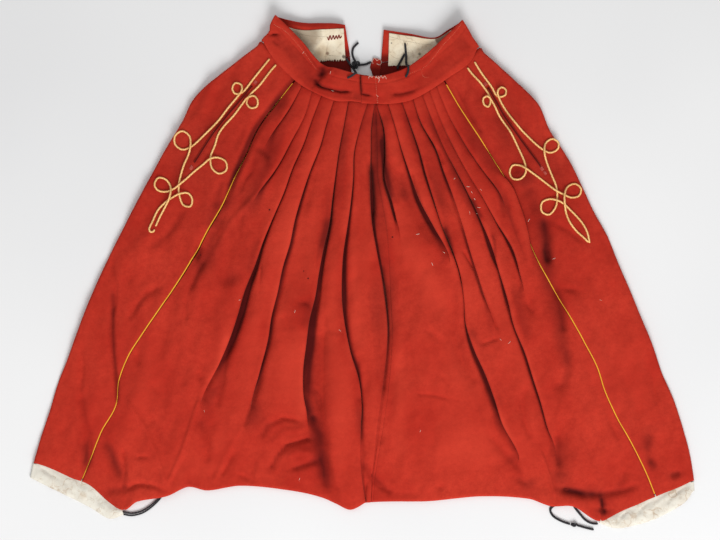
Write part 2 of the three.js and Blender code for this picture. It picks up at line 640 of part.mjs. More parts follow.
// A cord laid along a route on the named pieces, resting on the highest place under its width.
function laidCord(route, ground, size, reach, stepLength) {
  const flat = route.map(([x, y, lift = 0]) => new THREE.Vector3(x, y, lift));
  const path = new THREE.CatmullRomCurve3(flat, false, "centripetal");
  const count = Math.round(path.getLength() / (1.5 * size));
  const around = [[0, 0], [reach, 0], [-reach, 0], [0, reach], [0, -reach]];
  const points = path.getSpacedPoints(count).map((place) => {
    const tops = around.map(([dx, dy]) => topAt(ground, place.x + dx, place.y + dy));
    const lift = Math.max(0, place.z) + gap + size / 2;
    return new THREE.Vector3(place.x, place.y, Math.max(...tops) + lift);
  });
  return cordGeometry(points, size, stepLength);
}

for (const [name, route] of Object.entries(braidRoutes)) {
  const half = name.includes("left") ? "left" : "right";
  addPiece(name, laidCord(route, [`back_${half}`], braidSize, 0.55 * braidSize, 10), gold);
}

for (const [name, route] of Object.entries(pocketRoutes)) {
  const half = name.includes("left") ? "left" : "right";
  const line = new THREE.SplineCurve(route.map(([x, y]) => new THREE.Vector2(x, y)));
  const rows = [];
  for (let i = 0; i <= 12; i += 1) {
    const place = line.getPoint(i / 12);
    const along = line.getTangent(i / 12);
    const across = new THREE.Vector2(-along.y, along.x);
    rows.push([-1, 0, 1].map((f) => {
      const x = place.x + (across.x * f * pocketWidth) / 2;
      const y = place.y + (across.y * f * pocketWidth) / 2;
      return new THREE.Vector3(x, y, topAt([`back_${half}`], x, y) + gap + pocketWall / 2 + 0.1);
    }));
  }
  addPiece(name, wallFromRows(rows, pocketWall, false), red);
}

// ---- laces and ties ----

const waistGround = ["waistband_left", "waistband_right", "facing_left", "facing_right", "back_left", "back_right"];

for (const [name, route] of Object.entries(laceRoutes)) {
  const ground = name.startsWith("waist") ? waistGround : [];
  addPiece(name, laidCord(route, ground, laceSize, 1.5 * laceSize, 7), black);
}

for (const [name, knot] of Object.entries(knots)) {
  const geometry = new THREE.IcosahedronGeometry(0.5, 1);
  geometry.scale(...knot.size);
  const [x, y] = knot.at;
  const ground = knot.onBand ? topAt(waistGround, x, y) : 0;
  geometry.translate(x, y, ground + gap + knot.size[2] / 2);
  addPiece(name, geometry, black);
}

export default part;
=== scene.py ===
import math
import bmesh
import bpy
import numpy as np
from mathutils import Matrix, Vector
from mathutils.bvhtree import BVHTree


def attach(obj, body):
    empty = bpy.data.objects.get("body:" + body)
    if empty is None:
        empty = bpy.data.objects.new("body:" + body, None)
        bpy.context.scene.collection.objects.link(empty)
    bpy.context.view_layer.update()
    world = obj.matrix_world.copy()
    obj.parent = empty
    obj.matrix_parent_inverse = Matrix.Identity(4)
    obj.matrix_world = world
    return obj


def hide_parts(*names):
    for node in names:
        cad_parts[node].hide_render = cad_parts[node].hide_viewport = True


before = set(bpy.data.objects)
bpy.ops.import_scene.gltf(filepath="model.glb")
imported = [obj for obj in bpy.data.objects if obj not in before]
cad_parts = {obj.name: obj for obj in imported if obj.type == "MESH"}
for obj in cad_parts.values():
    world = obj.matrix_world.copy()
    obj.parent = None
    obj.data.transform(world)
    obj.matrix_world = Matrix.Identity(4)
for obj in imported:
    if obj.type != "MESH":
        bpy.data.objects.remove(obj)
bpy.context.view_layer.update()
print("frame loaded")

mm = 0.001  # lengths in the tables are in millimetres
halves = (("left", -1), ("right", 1))

view = {"at": (-0.0034, 0.00425, 2.5), "sensor": 36, "lens": 73.5, "nearest": 0.05}
cameraData = bpy.data.cameras.new("overheadCamera")
cameraData.sensor_width = view["sensor"]
cameraData.lens = view["lens"]
cameraData.clip_start = view["nearest"]
camera = bpy.data.objects.new("overheadCamera", cameraData)
camera.location = view["at"]
bpy.context.scene.collection.objects.link(camera)
bpy.context.scene.camera = camera
bpy.context.scene.view_settings.view_transform = "Standard"


def smoothStep(low, high, value):
    t = np.clip((np.asarray(value, float) - low) / (high - low), 0, 1)
    return t * t * (3 - 2 * t)


def mix(a, b, t):
    return a + (b - a) * t


def hermite(a, b, slopeA, slopeB, f):
    f2, f3 = f * f, f * f * f
    return (2 * f3 - 3 * f2 + 1) * a + (f3 - 2 * f2 + f) * slopeA + (3 * f2 - 2 * f3) * b + (f3 - f2) * slopeB


def through(values, t):
    # smooth value through numbers at equal steps, t from 0 to 1
    values = np.asarray(values, float)
    last = len(values) - 1
    place = np.clip(np.asarray(t, float), 0, 1) * last
    i = np.minimum(place.astype(int), last - 1)
    before = values[np.maximum(i - 1, 0)]
    after = values[np.minimum(i + 2, last)]
    slopeA = (values[i + 1] - before) / np.where(i > 0, 2, 1)
    slopeB = (after - values[i]) / np.where(i + 2 <= last, 2, 1)
    return hermite(values[i], values[i + 1], slopeA, slopeB, place - i)


def pathThrough(points, t):
    # the same through points of a plan
    return [through([point[k] for point in points], t) for k in (0, 1)]


def lookUp(places, values, at):
    # smooth value at any place of a table that grows
    places, values = np.asarray(places, float), np.asarray(values, float)
    slopes = np.empty_like(values)
    slopes[1:-1] = (values[2:] - values[:-2]) / (places[2:] - places[:-2])
    slopes[0] = (values[1] - values[0]) / (places[1] - places[0])
    slopes[-1] = (values[-1] - values[-2]) / (places[-1] - places[-2])
    at = np.asarray(at, float)
    i = np.clip(np.searchsorted(places, at) - 1, 0, len(places) - 2)
    span = places[i + 1] - places[i]
    f = np.clip((at - places[i]) / span, 0, 1)
    return hermite(values[i], values[i + 1], slopes[i] * span, slopes[i + 1] * span, f)


def runAlong(path):
    # length of a path up to each of its points
    return np.concatenate([[0], np.cumsum(np.linalg.norm(np.diff(path, axis=0), axis=1))])


def threadThrough(points, parts):
    # points: rows x n x 3. A smooth line through each row, with parts[j] steps from point j to the next
    first = 2 * points[:, :1] - points[:, 1:2]
    last = 2 * points[:, -1:] - points[:, -2:-1]
    p = np.concatenate([first, points, last], axis=1)
    knots = np.maximum(np.linalg.norm(np.diff(p, axis=1), axis=2), 1e-4)[..., None] ** 0.5
    made = []
    for j in range(points.shape[1] - 1):
        a, b, c, d = p[:, j], p[:, j + 1], p[:, j + 2], p[:, j + 3]
        ka, kb, kc = knots[:, j], knots[:, j + 1], knots[:, j + 2]
        startSlope = kb * ((b - a) / ka - (c - a) / (ka + kb) + (c - b) / kb)
        endSlope = kb * ((c - b) / kb - (d - b) / (kb + kc) + (d - c) / kc)
        for step in range(parts[j]):
            made.append(hermite(b, c, startSlope, endSlope, step / parts[j]))
    made.append(points[:, -1])
    return np.stack(made, axis=1)


def smoothLine(points, step):
    # points at about one step apart along a smooth line through the given ones
    points = np.asarray(points, float)
    fine = threadThrough(points[None], [24] * (len(points) - 1))[0]
    run = runAlong(fine)
    count = max(3, int(round(run[-1] / step)))
    places = np.linspace(0, run[-1], count + 1)
    return np.stack([np.interp(places, run, fine[:, k]) for k in range(fine.shape[1])], axis=1)


def gentleWaves(x, y, seed, shortest, longest, height, count=14):
    # slow uneven swelling of cloth, never repeating
    rng = np.random.default_rng(seed)
    total = np.zeros_like(x)
    for wave in range(count):
        length = shortest * (longest / shortest) ** rng.random()
        angle = rng.random() * math.tau
        phase = rng.random() * math.tau
        across = x * math.cos(angle) + y * math.sin(angle)
        total += (length / longest) * np.sin(math.tau * across / length + phase)
    return total * height / math.sqrt(count / 2)


# how a crease fades to its ends, and how far round its line it is worked out, in half widths
creaseForm = {"endShare": 0.3, "fadeShare": 0.3, "fadeWidths": 1.5, "reach": 2.5, "lapReach": 9,
              "soft": 0.75, "lapSharp": 0.45, "lapSoft": 4}


def creaseHeight(table, x, y, laps=()):
    # rows: half width, height, then x and y of each point from top to bottom.
    # A lap is a step, high on the +X side of its line.
    total = np.zeros_like(x)
    for number, (width, height, *numbers) in enumerate([*table, *laps]):
        isLap = number >= len(table)
        points = np.array(numbers, float).reshape(-1, 2)
        lengths = np.linalg.norm(np.diff(points, axis=0), axis=1)
        run = runAlong(points)
        reach = creaseForm["lapReach" if isLap else "reach"] * width
        low, high = points.min(0) - reach, points.max(0) + reach
        inside = (x > low[0]) & (x < high[0]) & (y > low[1]) & (y < high[1])
        px, py = x[inside], y[inside]
        nearest = np.full(px.shape, 1e9)
        place = np.zeros(px.shape)
        side = np.ones(px.shape)
        for j, length in enumerate(lengths):
            ax, ay = points[j]
            dx, dy = (points[j + 1] - points[j]) / length
            t = np.clip((px - ax) * dx + (py - ay) * dy, 0, length)
            ox, oy = px - ax - t * dx, py - ay - t * dy
            away = np.hypot(ox, oy)
            closer = away < nearest
            nearest = np.where(closer, away, nearest)
            place = np.where(closer, (run[j] + t) / run[-1], place)
            side = np.where(closer, np.sign(dx * oy - dy * ox), side)
        fade = min(creaseForm["fadeShare"], creaseForm["fadeWidths"] * width / run[-1])
        full = smoothStep(0, fade, place) * smoothStep(0, fade, 1 - place)
        if isLap:
            shape = 0.5 * np.tanh(side * nearest / (creaseForm["lapSharp"] * width))
            shape *= np.exp(-(nearest / (creaseForm["lapSoft"] * width)) ** 2)
        else:
            shape = np.exp(-(nearest / (creaseForm["soft"] * width)) ** 2)
        total[inside] += height * mix(creaseForm["endShare"], 1, full) * shape
    return total


def linkPiece(name, mesh):
    piece = bpy.data.objects.new(name, mesh)
    bpy.context.scene.collection.objects.link(piece)
    return piece


def makeMesh(name, points, faces, uv, values):
    # points in mm; faces: arrays of corners, all of one size or a list of such arrays
    groups = [np.asarray(group) for group in (faces if isinstance(faces, list) else [faces])]
    corners = np.concatenate([group.ravel() for group in groups]).astype(np.int32)
    sizes = np.concatenate([np.full(len(group), group.shape[1]) for group in groups])
    starts = np.concatenate([[0], np.cumsum(sizes)[:-1]])
    mesh = bpy.data.meshes.new(name)
    mesh.vertices.add(len(points))
    mesh.vertices.foreach_set("co", (np.asarray(points, float) * mm).astype(np.float32).ravel())
    mesh.loops.add(len(corners))
    mesh.loops.foreach_set("vertex_index", corners)
    mesh.polygons.add(len(sizes))
    mesh.polygons.foreach_set("loop_start", starts.astype(np.int32))
    mesh.polygons.foreach_set("use_smooth", np.ones(len(sizes), dtype=bool))
    layer = mesh.uv_layers.new(name="UVMap")
    layer.data.foreach_set("uv", np.asarray(uv, np.float32)[corners].ravel())
    for key, numbers in values.items():
        attribute = mesh.attributes.new(key, "FLOAT", "POINT")
        attribute.data.foreach_set("value", np.asarray(numbers, np.float32))
    mesh.update(calc_edges=True)
    mesh.validate()
    return mesh


def gridFaces(rows, columns, kept, turned):
    r, c = np.meshgrid(np.arange(rows - 1), np.arange(columns - 1), indexing="ij")
    a = r * columns + c
    faces = np.stack([a, a + columns, a + columns + 1, a + 1], axis=-1)
    faces = faces[kept] if kept is not None else faces.reshape(-1, 4)
    return faces[:, ::-1] if turned else faces


def vertexNormals(points, faces):
    across = np.cross(points[faces[:, 2]] - points[faces[:, 0]], points[faces[:, 3]] - points[faces[:, 1]])
    across /= np.maximum(np.linalg.norm(across, axis=1, keepdims=True), 1e-9)
    normals = np.zeros_like(points)
    for k in range(4):
        np.add.at(normals, faces[:, k], across)
    return normals / np.maximum(np.linalg.norm(normals, axis=1, keepdims=True), 1e-9)


def clothMesh(name, grid, thickness, turned, values, kept=None):
    # a wall of even thickness on both sides of a grid of points, closed round its edges
    rows, columns = grid.shape[:2]
    stepU = np.linalg.norm(np.diff(grid, axis=1), axis=2)
    stepV = np.linalg.norm(np.diff(grid, axis=0), axis=2)
    u = np.concatenate([np.zeros((rows, 1)), np.cumsum(stepU, axis=1)], axis=1)
    v = np.concatenate([np.zeros((1, columns)), np.cumsum(stepV, axis=0)], axis=0)
    points = grid.reshape(-1, 3)
    faces = gridFaces(rows, columns, kept, turned)
    used = np.unique(faces)
    renumbered = np.zeros(len(points), int)
    renumbered[used] = np.arange(len(used))
    points, faces = points[used], renumbered[faces]
    normals = vertexNormals(points, faces)
    count = len(points)
    walls = np.concatenate([points + normals * thickness / 2, points - normals * thickness / 2])
    starts, ends = faces.ravel(), np.roll(faces, -1, axis=1).ravel()
    bare = ~np.isin(ends * count + starts, starts * count + ends)
    starts, ends = starts[bare], ends[bare]
    rim = np.stack([ends, starts, starts + count, ends + count], axis=1)
    allFaces = np.concatenate([faces, faces[:, ::-1] + count, rim])
    uv = np.stack([u.ravel()[used], v.ravel()[used]], axis=1) * mm
    doubled = {}
    for key, numbers in values.items():
        outer, inner = numbers if isinstance(numbers, tuple) else (numbers, numbers)
        doubled[key] = np.concatenate([outer.ravel()[used], inner.ravel()[used]])
    return makeMesh(name, walls, allFaces, np.tile(uv, (2, 1)), doubled)


def heightTree(meshes):
    # something to look down on, for laying cords and trimmings on the cloth
    points, faces = [], []
    for mesh in meshes:
        start = len(points)
        points += [vertex.co.copy() for vertex in mesh.vertices]
        faces += [[start + corner for corner in polygon.vertices] for polygon in mesh.polygons]
    return BVHTree.FromPolygons(points, faces)


def topAt(tree, x, y, start=500):
    hit = tree.ray_cast(Vector((x * mm, y * mm, start * mm)), Vector((0, 0, -1)))
    return hit[0].z / mm if hit[0] is not None else 0.0


def tubeMesh(name, path, radius, sides, flat=1.0):
    # a closed round cord along a path, with rounded ends; radius may change along it
    path = np.asarray(path, float)
    count = len(path)
    radii = np.broadcast_to(np.asarray(radius, float), (count,))
    along = np.gradient(path, axis=0)
    along /= np.linalg.norm(along, axis=1, keepdims=True)
    across = np.cross(along, np.array([0.0, 0.0, 1.0]))
    across[np.linalg.norm(across, axis=1) < 0.15] = np.array([1.0, 0.0, 0.0])  # where the path runs upright
    for i in range(1, count):
        if np.dot(across[i], across[i - 1]) < 0:
            across[i] = -across[i]
    across -= along * np.sum(across * along, axis=1, keepdims=True)
    across /= np.linalg.norm(across, axis=1, keepdims=True)
    above = np.cross(across, along)
    run = runAlong(path)
    rings, lengths = [], []
    angles = np.arange(sides) * math.tau / sides

    def ring(i, size, push):
        circle = np.cos(angles)[:, None] * across[i] + flat * np.sin(angles)[:, None] * above[i]
        rings.append(path[i] + along[i] * push + circle * size)
        lengths.append(run[i] + push)

    capTurns = [math.radians(turn) for turn in (75, 45, 20)]
    for turn in capTurns:
        ring(0, radii[0] * math.cos(turn), radii[0] * (1 - math.sin(turn)))
    bodyStart, bodyEnd = run[0] + radii[0], run[-1] - radii[-1]
    for i in range(count):
        if bodyStart < run[i] < bodyEnd:
            ring(i, radii[i], 0)
    for turn in reversed(capTurns):
        ring(count - 1, radii[-1] * math.cos(turn), -radii[-1] * (1 - math.sin(turn)))
    number = len(rings)
    points = np.concatenate(rings + [path[:1], path[-1:]])
    r, s = np.meshgrid(np.arange(number - 1), np.arange(sides), indexing="ij")
    nextS = (s + 1) % sides
    quads = np.stack([r * sides + s, r * sides + nextS, (r + 1) * sides + nextS, (r + 1) * sides + s],
                     axis=-1)
    s = np.arange(sides)
    startCap = np.stack([np.full(sides, number * sides), (s + 1) % sides, s], axis=1)
    base = (number - 1) * sides
    endCap = np.stack([np.full(sides, number * sides + 1), base + s, base + (s + 1) % sides], axis=1)
    uv = np.stack([np.tile(s / sides, number), np.repeat(np.array(lengths) * mm, sides)], axis=1)
    uv = np.concatenate([uv, [[0, 0], [0, run[-1] * mm]]])
    # the round and the length are kept on the cord too, for the twist of its strands
    values = {"around": np.concatenate([np.tile(angles, number), [0, 0]]),
              "along": np.concatenate([np.repeat(np.array(lengths) * mm, sides), [0, run[-1] * mm]])}
    return makeMesh(name, points, [quads.reshape(-1, 4), startCap, endCap], uv, values)


def joinMeshes(name, meshes):
    whole = bmesh.new()
    for mesh in meshes:
        whole.from_mesh(mesh)
    mesh = bpy.data.meshes.new(name)
    whole.to_mesh(mesh)
    whole.free()
    mesh.shade_smooth()
    return mesh

cloth = {"wall": 2.0, "gap": 0.3, "underZ": 1.0, "lowest": 4.0, "lowestBack": 3.6, "edgeTurn": 5,
         "hemTopZ": 9.2, "middleGap": 0.02, "seamGap": 0.4, "slitGap": 0.2, "rollFrom": 0.94, "rollSteps": 8,
         "edgeSteps": 10, "flapRows": (0.35, 0.7, 1), "underSteps": 66, "tuckedOver": (0.1, 0.45),
         "cuffEdgeZ": 6.8, "bandTuck": 4, "rows": 228, "seamDown": 17 / 19, "bagHalf": 404.5, "bagEdge": 540,
         "flapDraw": 0.045, "slitLength": 130, "centreX": 6, "paintedInsideShade": 0.85, "sideTuck": 4,
         "paintedBandGain": 1.5, "creaseGain": 1.3, "underLift": 2.6, "ties": [-345, 343], "tieHalf": 30,
         "tieEdge": 25, "tieRise": 4.3, "paintedFoldShade": (2.5, 8), "paintedSunkShade": (2.5, 7, 0.8)}
underSeam = {"left": -345, "right": -357}

# lines of the body from the waist seam down to the hem, at each sixteenth of the way; a short row keeps its
# last value. depth: of the fold on the inner side; gap: width of its open shadow; flap: how far the front
# cloth folds back; valley: how much wider the hollow beside the piping is
leftLines = {
    "outline": {"topY": 391,
        "x": [-174, -231, -282, -305.5, -332.5, -357, -381, -404, -426.5, -447.5, -466.5, -483.5, -499.5,
              -517, -530, -545, -557.5]},
    "piping": {"topY": 329,
        "x": [-111, -144.5, -176, -195.5, -216.5, -236, -260.5, -283.5, -309.5, -338.5, -368, -395.5,
              -412, -417, -441.5, -458.5, -476],
        "depth": [5, 7, 8.5, 9, 7, 3, 1.1, 0.8, 0.8, 0.7, 0.7, 0.7, 0.6, 0.6, 0.6, 0.5],
        "valley": [1, 1, 1.1, 1.1, 0.9, 0.3, 0], "flap": [0, 0.8, 1.6, 1.6, 1, 0]},
    "fold7": {"topY": 317,
        "x": [-104, -129, -160, -185, -207.5, -229.5, -252.5, -276.5, -300, -322, -342.5, -359.5, -372.5,
              -382.5, -392, -399, -405.5],
        "depth": [5, 6, 2.5, 0], "gap": [1.2, 1.8, 2.6, 3]},
    "fold6": {"topY": 309,
        "x": [-87, -100, -122.5, -146, -176.5, -204.5, -223, -240.5, -258.5, -276.5, -292.5, -305.5,
              -317.5, -328.5, -337.5, -345, -350.5],
        "depth": [6, 7, 8, 7.4, 3.2, 0], "gap": [1.2, 1.6, 2.1, 2.8, 4.4, 5]},
    "fold5": {"topY": 302,
        "x": [-71, -87, -101.5, -120, -135, -153, -170, -184.5, -201.5, -213.5, -227.5, -245, -266.5,
              -286, -295, -299],
        "depth": [6, 7.1, 8.2, 9, 9, 9, 10.2, 12, 12, 12, 11, 6.5, 3.8, 1.7, 0],
        "gap": [1.2, 1.4, 1.7, 2, 2.2, 2.4, 4, 7, 9, 10, 9, 7, 6]},
    "fold4": {"topY": 297,
        "x": [-49, -62, -73.5, -90, -104, -116, -124.5, -137, -145.5, -156, -162.5, -173, -184, -195.5,
              -206.5, -211.5, -214],
        "depth": [6, 6.9, 8, 9, 9, 9, 8, 7, 7.5, 9.5, 10.5, 8, 4.5, 2.3, 0.3, 0],
        "gap": [1.2, 1.4, 1.6, 1.8, 2.3, 4, 5, 5.5, 6, 5, 4.2, 4, 5]},
    "fold3": {"topY": 292,
        "x": [-26, -33.5, -41.5, -47.5, -53, -58, -67.5, -75.5, -82, -92, -97.5, -102.5, -102, -95, -97.5,
              -102.5, -105.5],
        "depth": [6, 7, 8.2, 9.5, 10.5, 11.5, 12, 11.5, 12, 12, 12, 11.5, 9, 4, 0],
        "gap": [1.2, 1.5, 1.8, 2.1, 2.6, 4, 5.5, 7, 9, 12, 12, 9, 5, 4]},
    "fold2": {"topY": 288,
        "x": [7, -6.5, -16.5, -18, -22, -28, -34.5, -37, -36.5, -31, -22, -9, -3.5, -4, -5, -2, 3.5],
        "depth": [6, 7.1, 8, 8.5, 9.3, 11, 12, 12, 12, 10.7, 8.2, 7, 6.7, 3.6, 2, 3.3, 4],
        "gap": [1.2, 1.6, 2, 2.5, 3.6, 4.5, 5, 5.5, 5.5, 5, 4.5, 4, 3.7, 4]},
    "fold1": {"topY": 287,
        "x": [19, 13, 12, 11, 11.5, 15, 22.5, 30.5, 36.5, 40.5, 40, 35.5, 29.5, 24, 20, 15.5, 13.5],
        "depth": [5, 5.6, 6.8, 10.5, 10, 8, 6.2, 7.4, 6.4, 4.7, 3, 1.9, 1.6, 1.9, 2, 2, 3],
        "gap": [3, 3, 3, 5, 6]},
    "middle": {"topY": 286,
        "x": [23, 25, 26, 27, 34.5, 41.5, 45, 47, 49, 51, 50, 46.5, 41.5, 35.5, 28.5, 22, 18.5],
        "depth": [5, 5, 5, 5, 4, 3, 1.5, 1, 1, 1.2, 1.4, 1, 1, 1, 1, 1.5, 2]},
}
rightLines = {
    "outline": {"topY": 379.5,
        "x": [203, 253, 298, 319, 348.5, 371.5, 393, 418, 436, 456, 474.5, 493.5, 509, 529, 544, 556.5,
              564]},
    "piping": {"topY": 327,
        "x": [138, 163.5, 192, 220.5, 246.5, 261, 279, 298.5, 323.5, 349.5, 374.5, 397.5, 412, 432.5,
              457.5, 480, 498],
        "depth": [4, 4, 3.5, 3.5, 4, 4.5, 4, 2, 0.9, 0.8, 0.7, 0.7, 0.7, 0.6, 0.6, 0.5],
        "valley": [0.4, 0.8, 1.2, 1.4, 1.2, 1, 0.8, 0.3, 0],
        "flap": [0, 0, 0, 0.6, 3.6, 4.6, 3.6, 0.4, 0]},
    "fold6": {"topY": 317,
        "x": [128, 147.5, 172.5, 203, 236, 252, 269, 284, 298.5, 315.5, 333.5, 351.5, 368.5, 385.5, 400,
              408.5, 413],
        "depth": [5, 6, 7, 6.3, 3.8, 0], "gap": [1.2, 1.4, 1.7, 1.9, 3.5, 4]},
    "fold5": {"topY": 310,
        "x": [116, 133, 153.5, 177, 204, 229.5, 256.5, 269.5, 279, 290, 304, 318, 332, 345.5, 358, 365,
              370.5],
        "depth": [5, 6.1, 7, 7, 6.1, 7.7, 9, 5.9, 0], "gap": [1.2, 1.4, 1.6, 1.8, 2.1, 2.8, 5.5, 3]},
    "fold4": {"topY": 303,
        "x": [104, 121, 139, 162, 184.5, 205, 223, 236, 249.5, 259.5, 277.5, 291.5, 305.5, 317.5, 333.5,
              338, 340],
        "depth": [5, 6.3, 7, 7, 7.2, 9, 10.9, 8.4, 9.5, 8.1, 9, 9, 7.8, 5.7, 1.2, 0],
        "gap": [1.2, 1.5, 1.7, 2, 2.4, 3.3, 7.3, 3.1, 5.9, 3.6, 5, 5, 3.6, 3]},
    "fold3": {"topY": 298,
        "x": [88, 102.5, 127, 142, 157.5, 171.5, 184.5, 198, 212, 229.5, 241, 253, 266, 280.5, 293.5, 304,
              311],
        "depth": [6, 8.3, 9, 5.5, 4, 4.4, 5, 4.9, 4.1, 1.6, 0], "gap": [1.5, 2.7, 3.9, 4.6, 5]},
    "fold2": {"topY": 293,
        "x": [69, 84.5, 99.5, 111, 124, 137.5, 155.5, 169, 175, 178.5, 192.5, 211.5, 227, 240.5, 263.5,
              277, 285.5],
        "depth": [6, 7.2, 8, 8.7, 8.4, 10.5, 12, 10.1, 7.4, 8, 10.4, 11, 10.2, 8.1, 4.8, 0.9, 0],
        "gap": [1.5, 1.8, 3.1, 4.7, 3.7, 2.6, 4.4, 4.1, 2, 3, 6.6, 6.9, 6.6, 4.1, 4]},
    "fold1": {"topY": 290,
        "x": [46, 59, 71, 85.5, 101.5, 124, 146.5, 157, 157.5, 154.5, 152, 148.5, 143, 138.5, 133.5,
              128.5, 126],
        "depth": [7, 8.1, 9, 10.2, 9.6, 6.7, 4.4, 0.3, 0], "gap": [1.5, 2.5, 2.5, 3.5, 7, 8, 7, 6]},
    "fold0": {"topY": 286,
        "x": [27, 40, 42.5, 41.5, 54.5, 64, 70, 73.5, 77, 78.5, 77, 74.5, 71.5, 66.5, 61, 55, 51],
        "depth": [8, 10.2, 10.6, 11.2, 11.2, 3.3, 0.1, 0], "gap": [3, 4, 5, 6.1, 7, 6, 6, 8]},
    "middle": leftLines["middle"],
}
lineSteps = 16
for lines in (leftLines, rightLines):
    for line in lines.values():
        for part in line.keys() - {"topY"}:
            line[part] = line[part] + line[part][-1:] * (lineSteps + 1 - len(line[part]))
hemX = [-560, -530, -496, -461, -432, -405, -382, -330, -296, -262, -207, -122, -71, -32, -20, 7, 116,
        201, 282, 320, 359, 402, 437, 500, 542, 565]
hemY = [-321, -331, -347, -361, -387, -403, -388, -378, -363, -369, -361, -369, -380, -397, -402, -390,
        -387, -379, -383, -395, -396, -421, -406, -379, -362, -350]
# height of the cloth at its outer edge and over the rest, down the body
crown = {"down": [0, 0.12, 0.35, 0.6, 0.85, 1], "edge": [14.6, 11.5, 9.6, 8.6, 7.8, 6.8],
         "full": [14.6, 16, 16, 15.6, 13.5, 9.2], "edgeShare": 0.3, "hemFrom": 0.88}

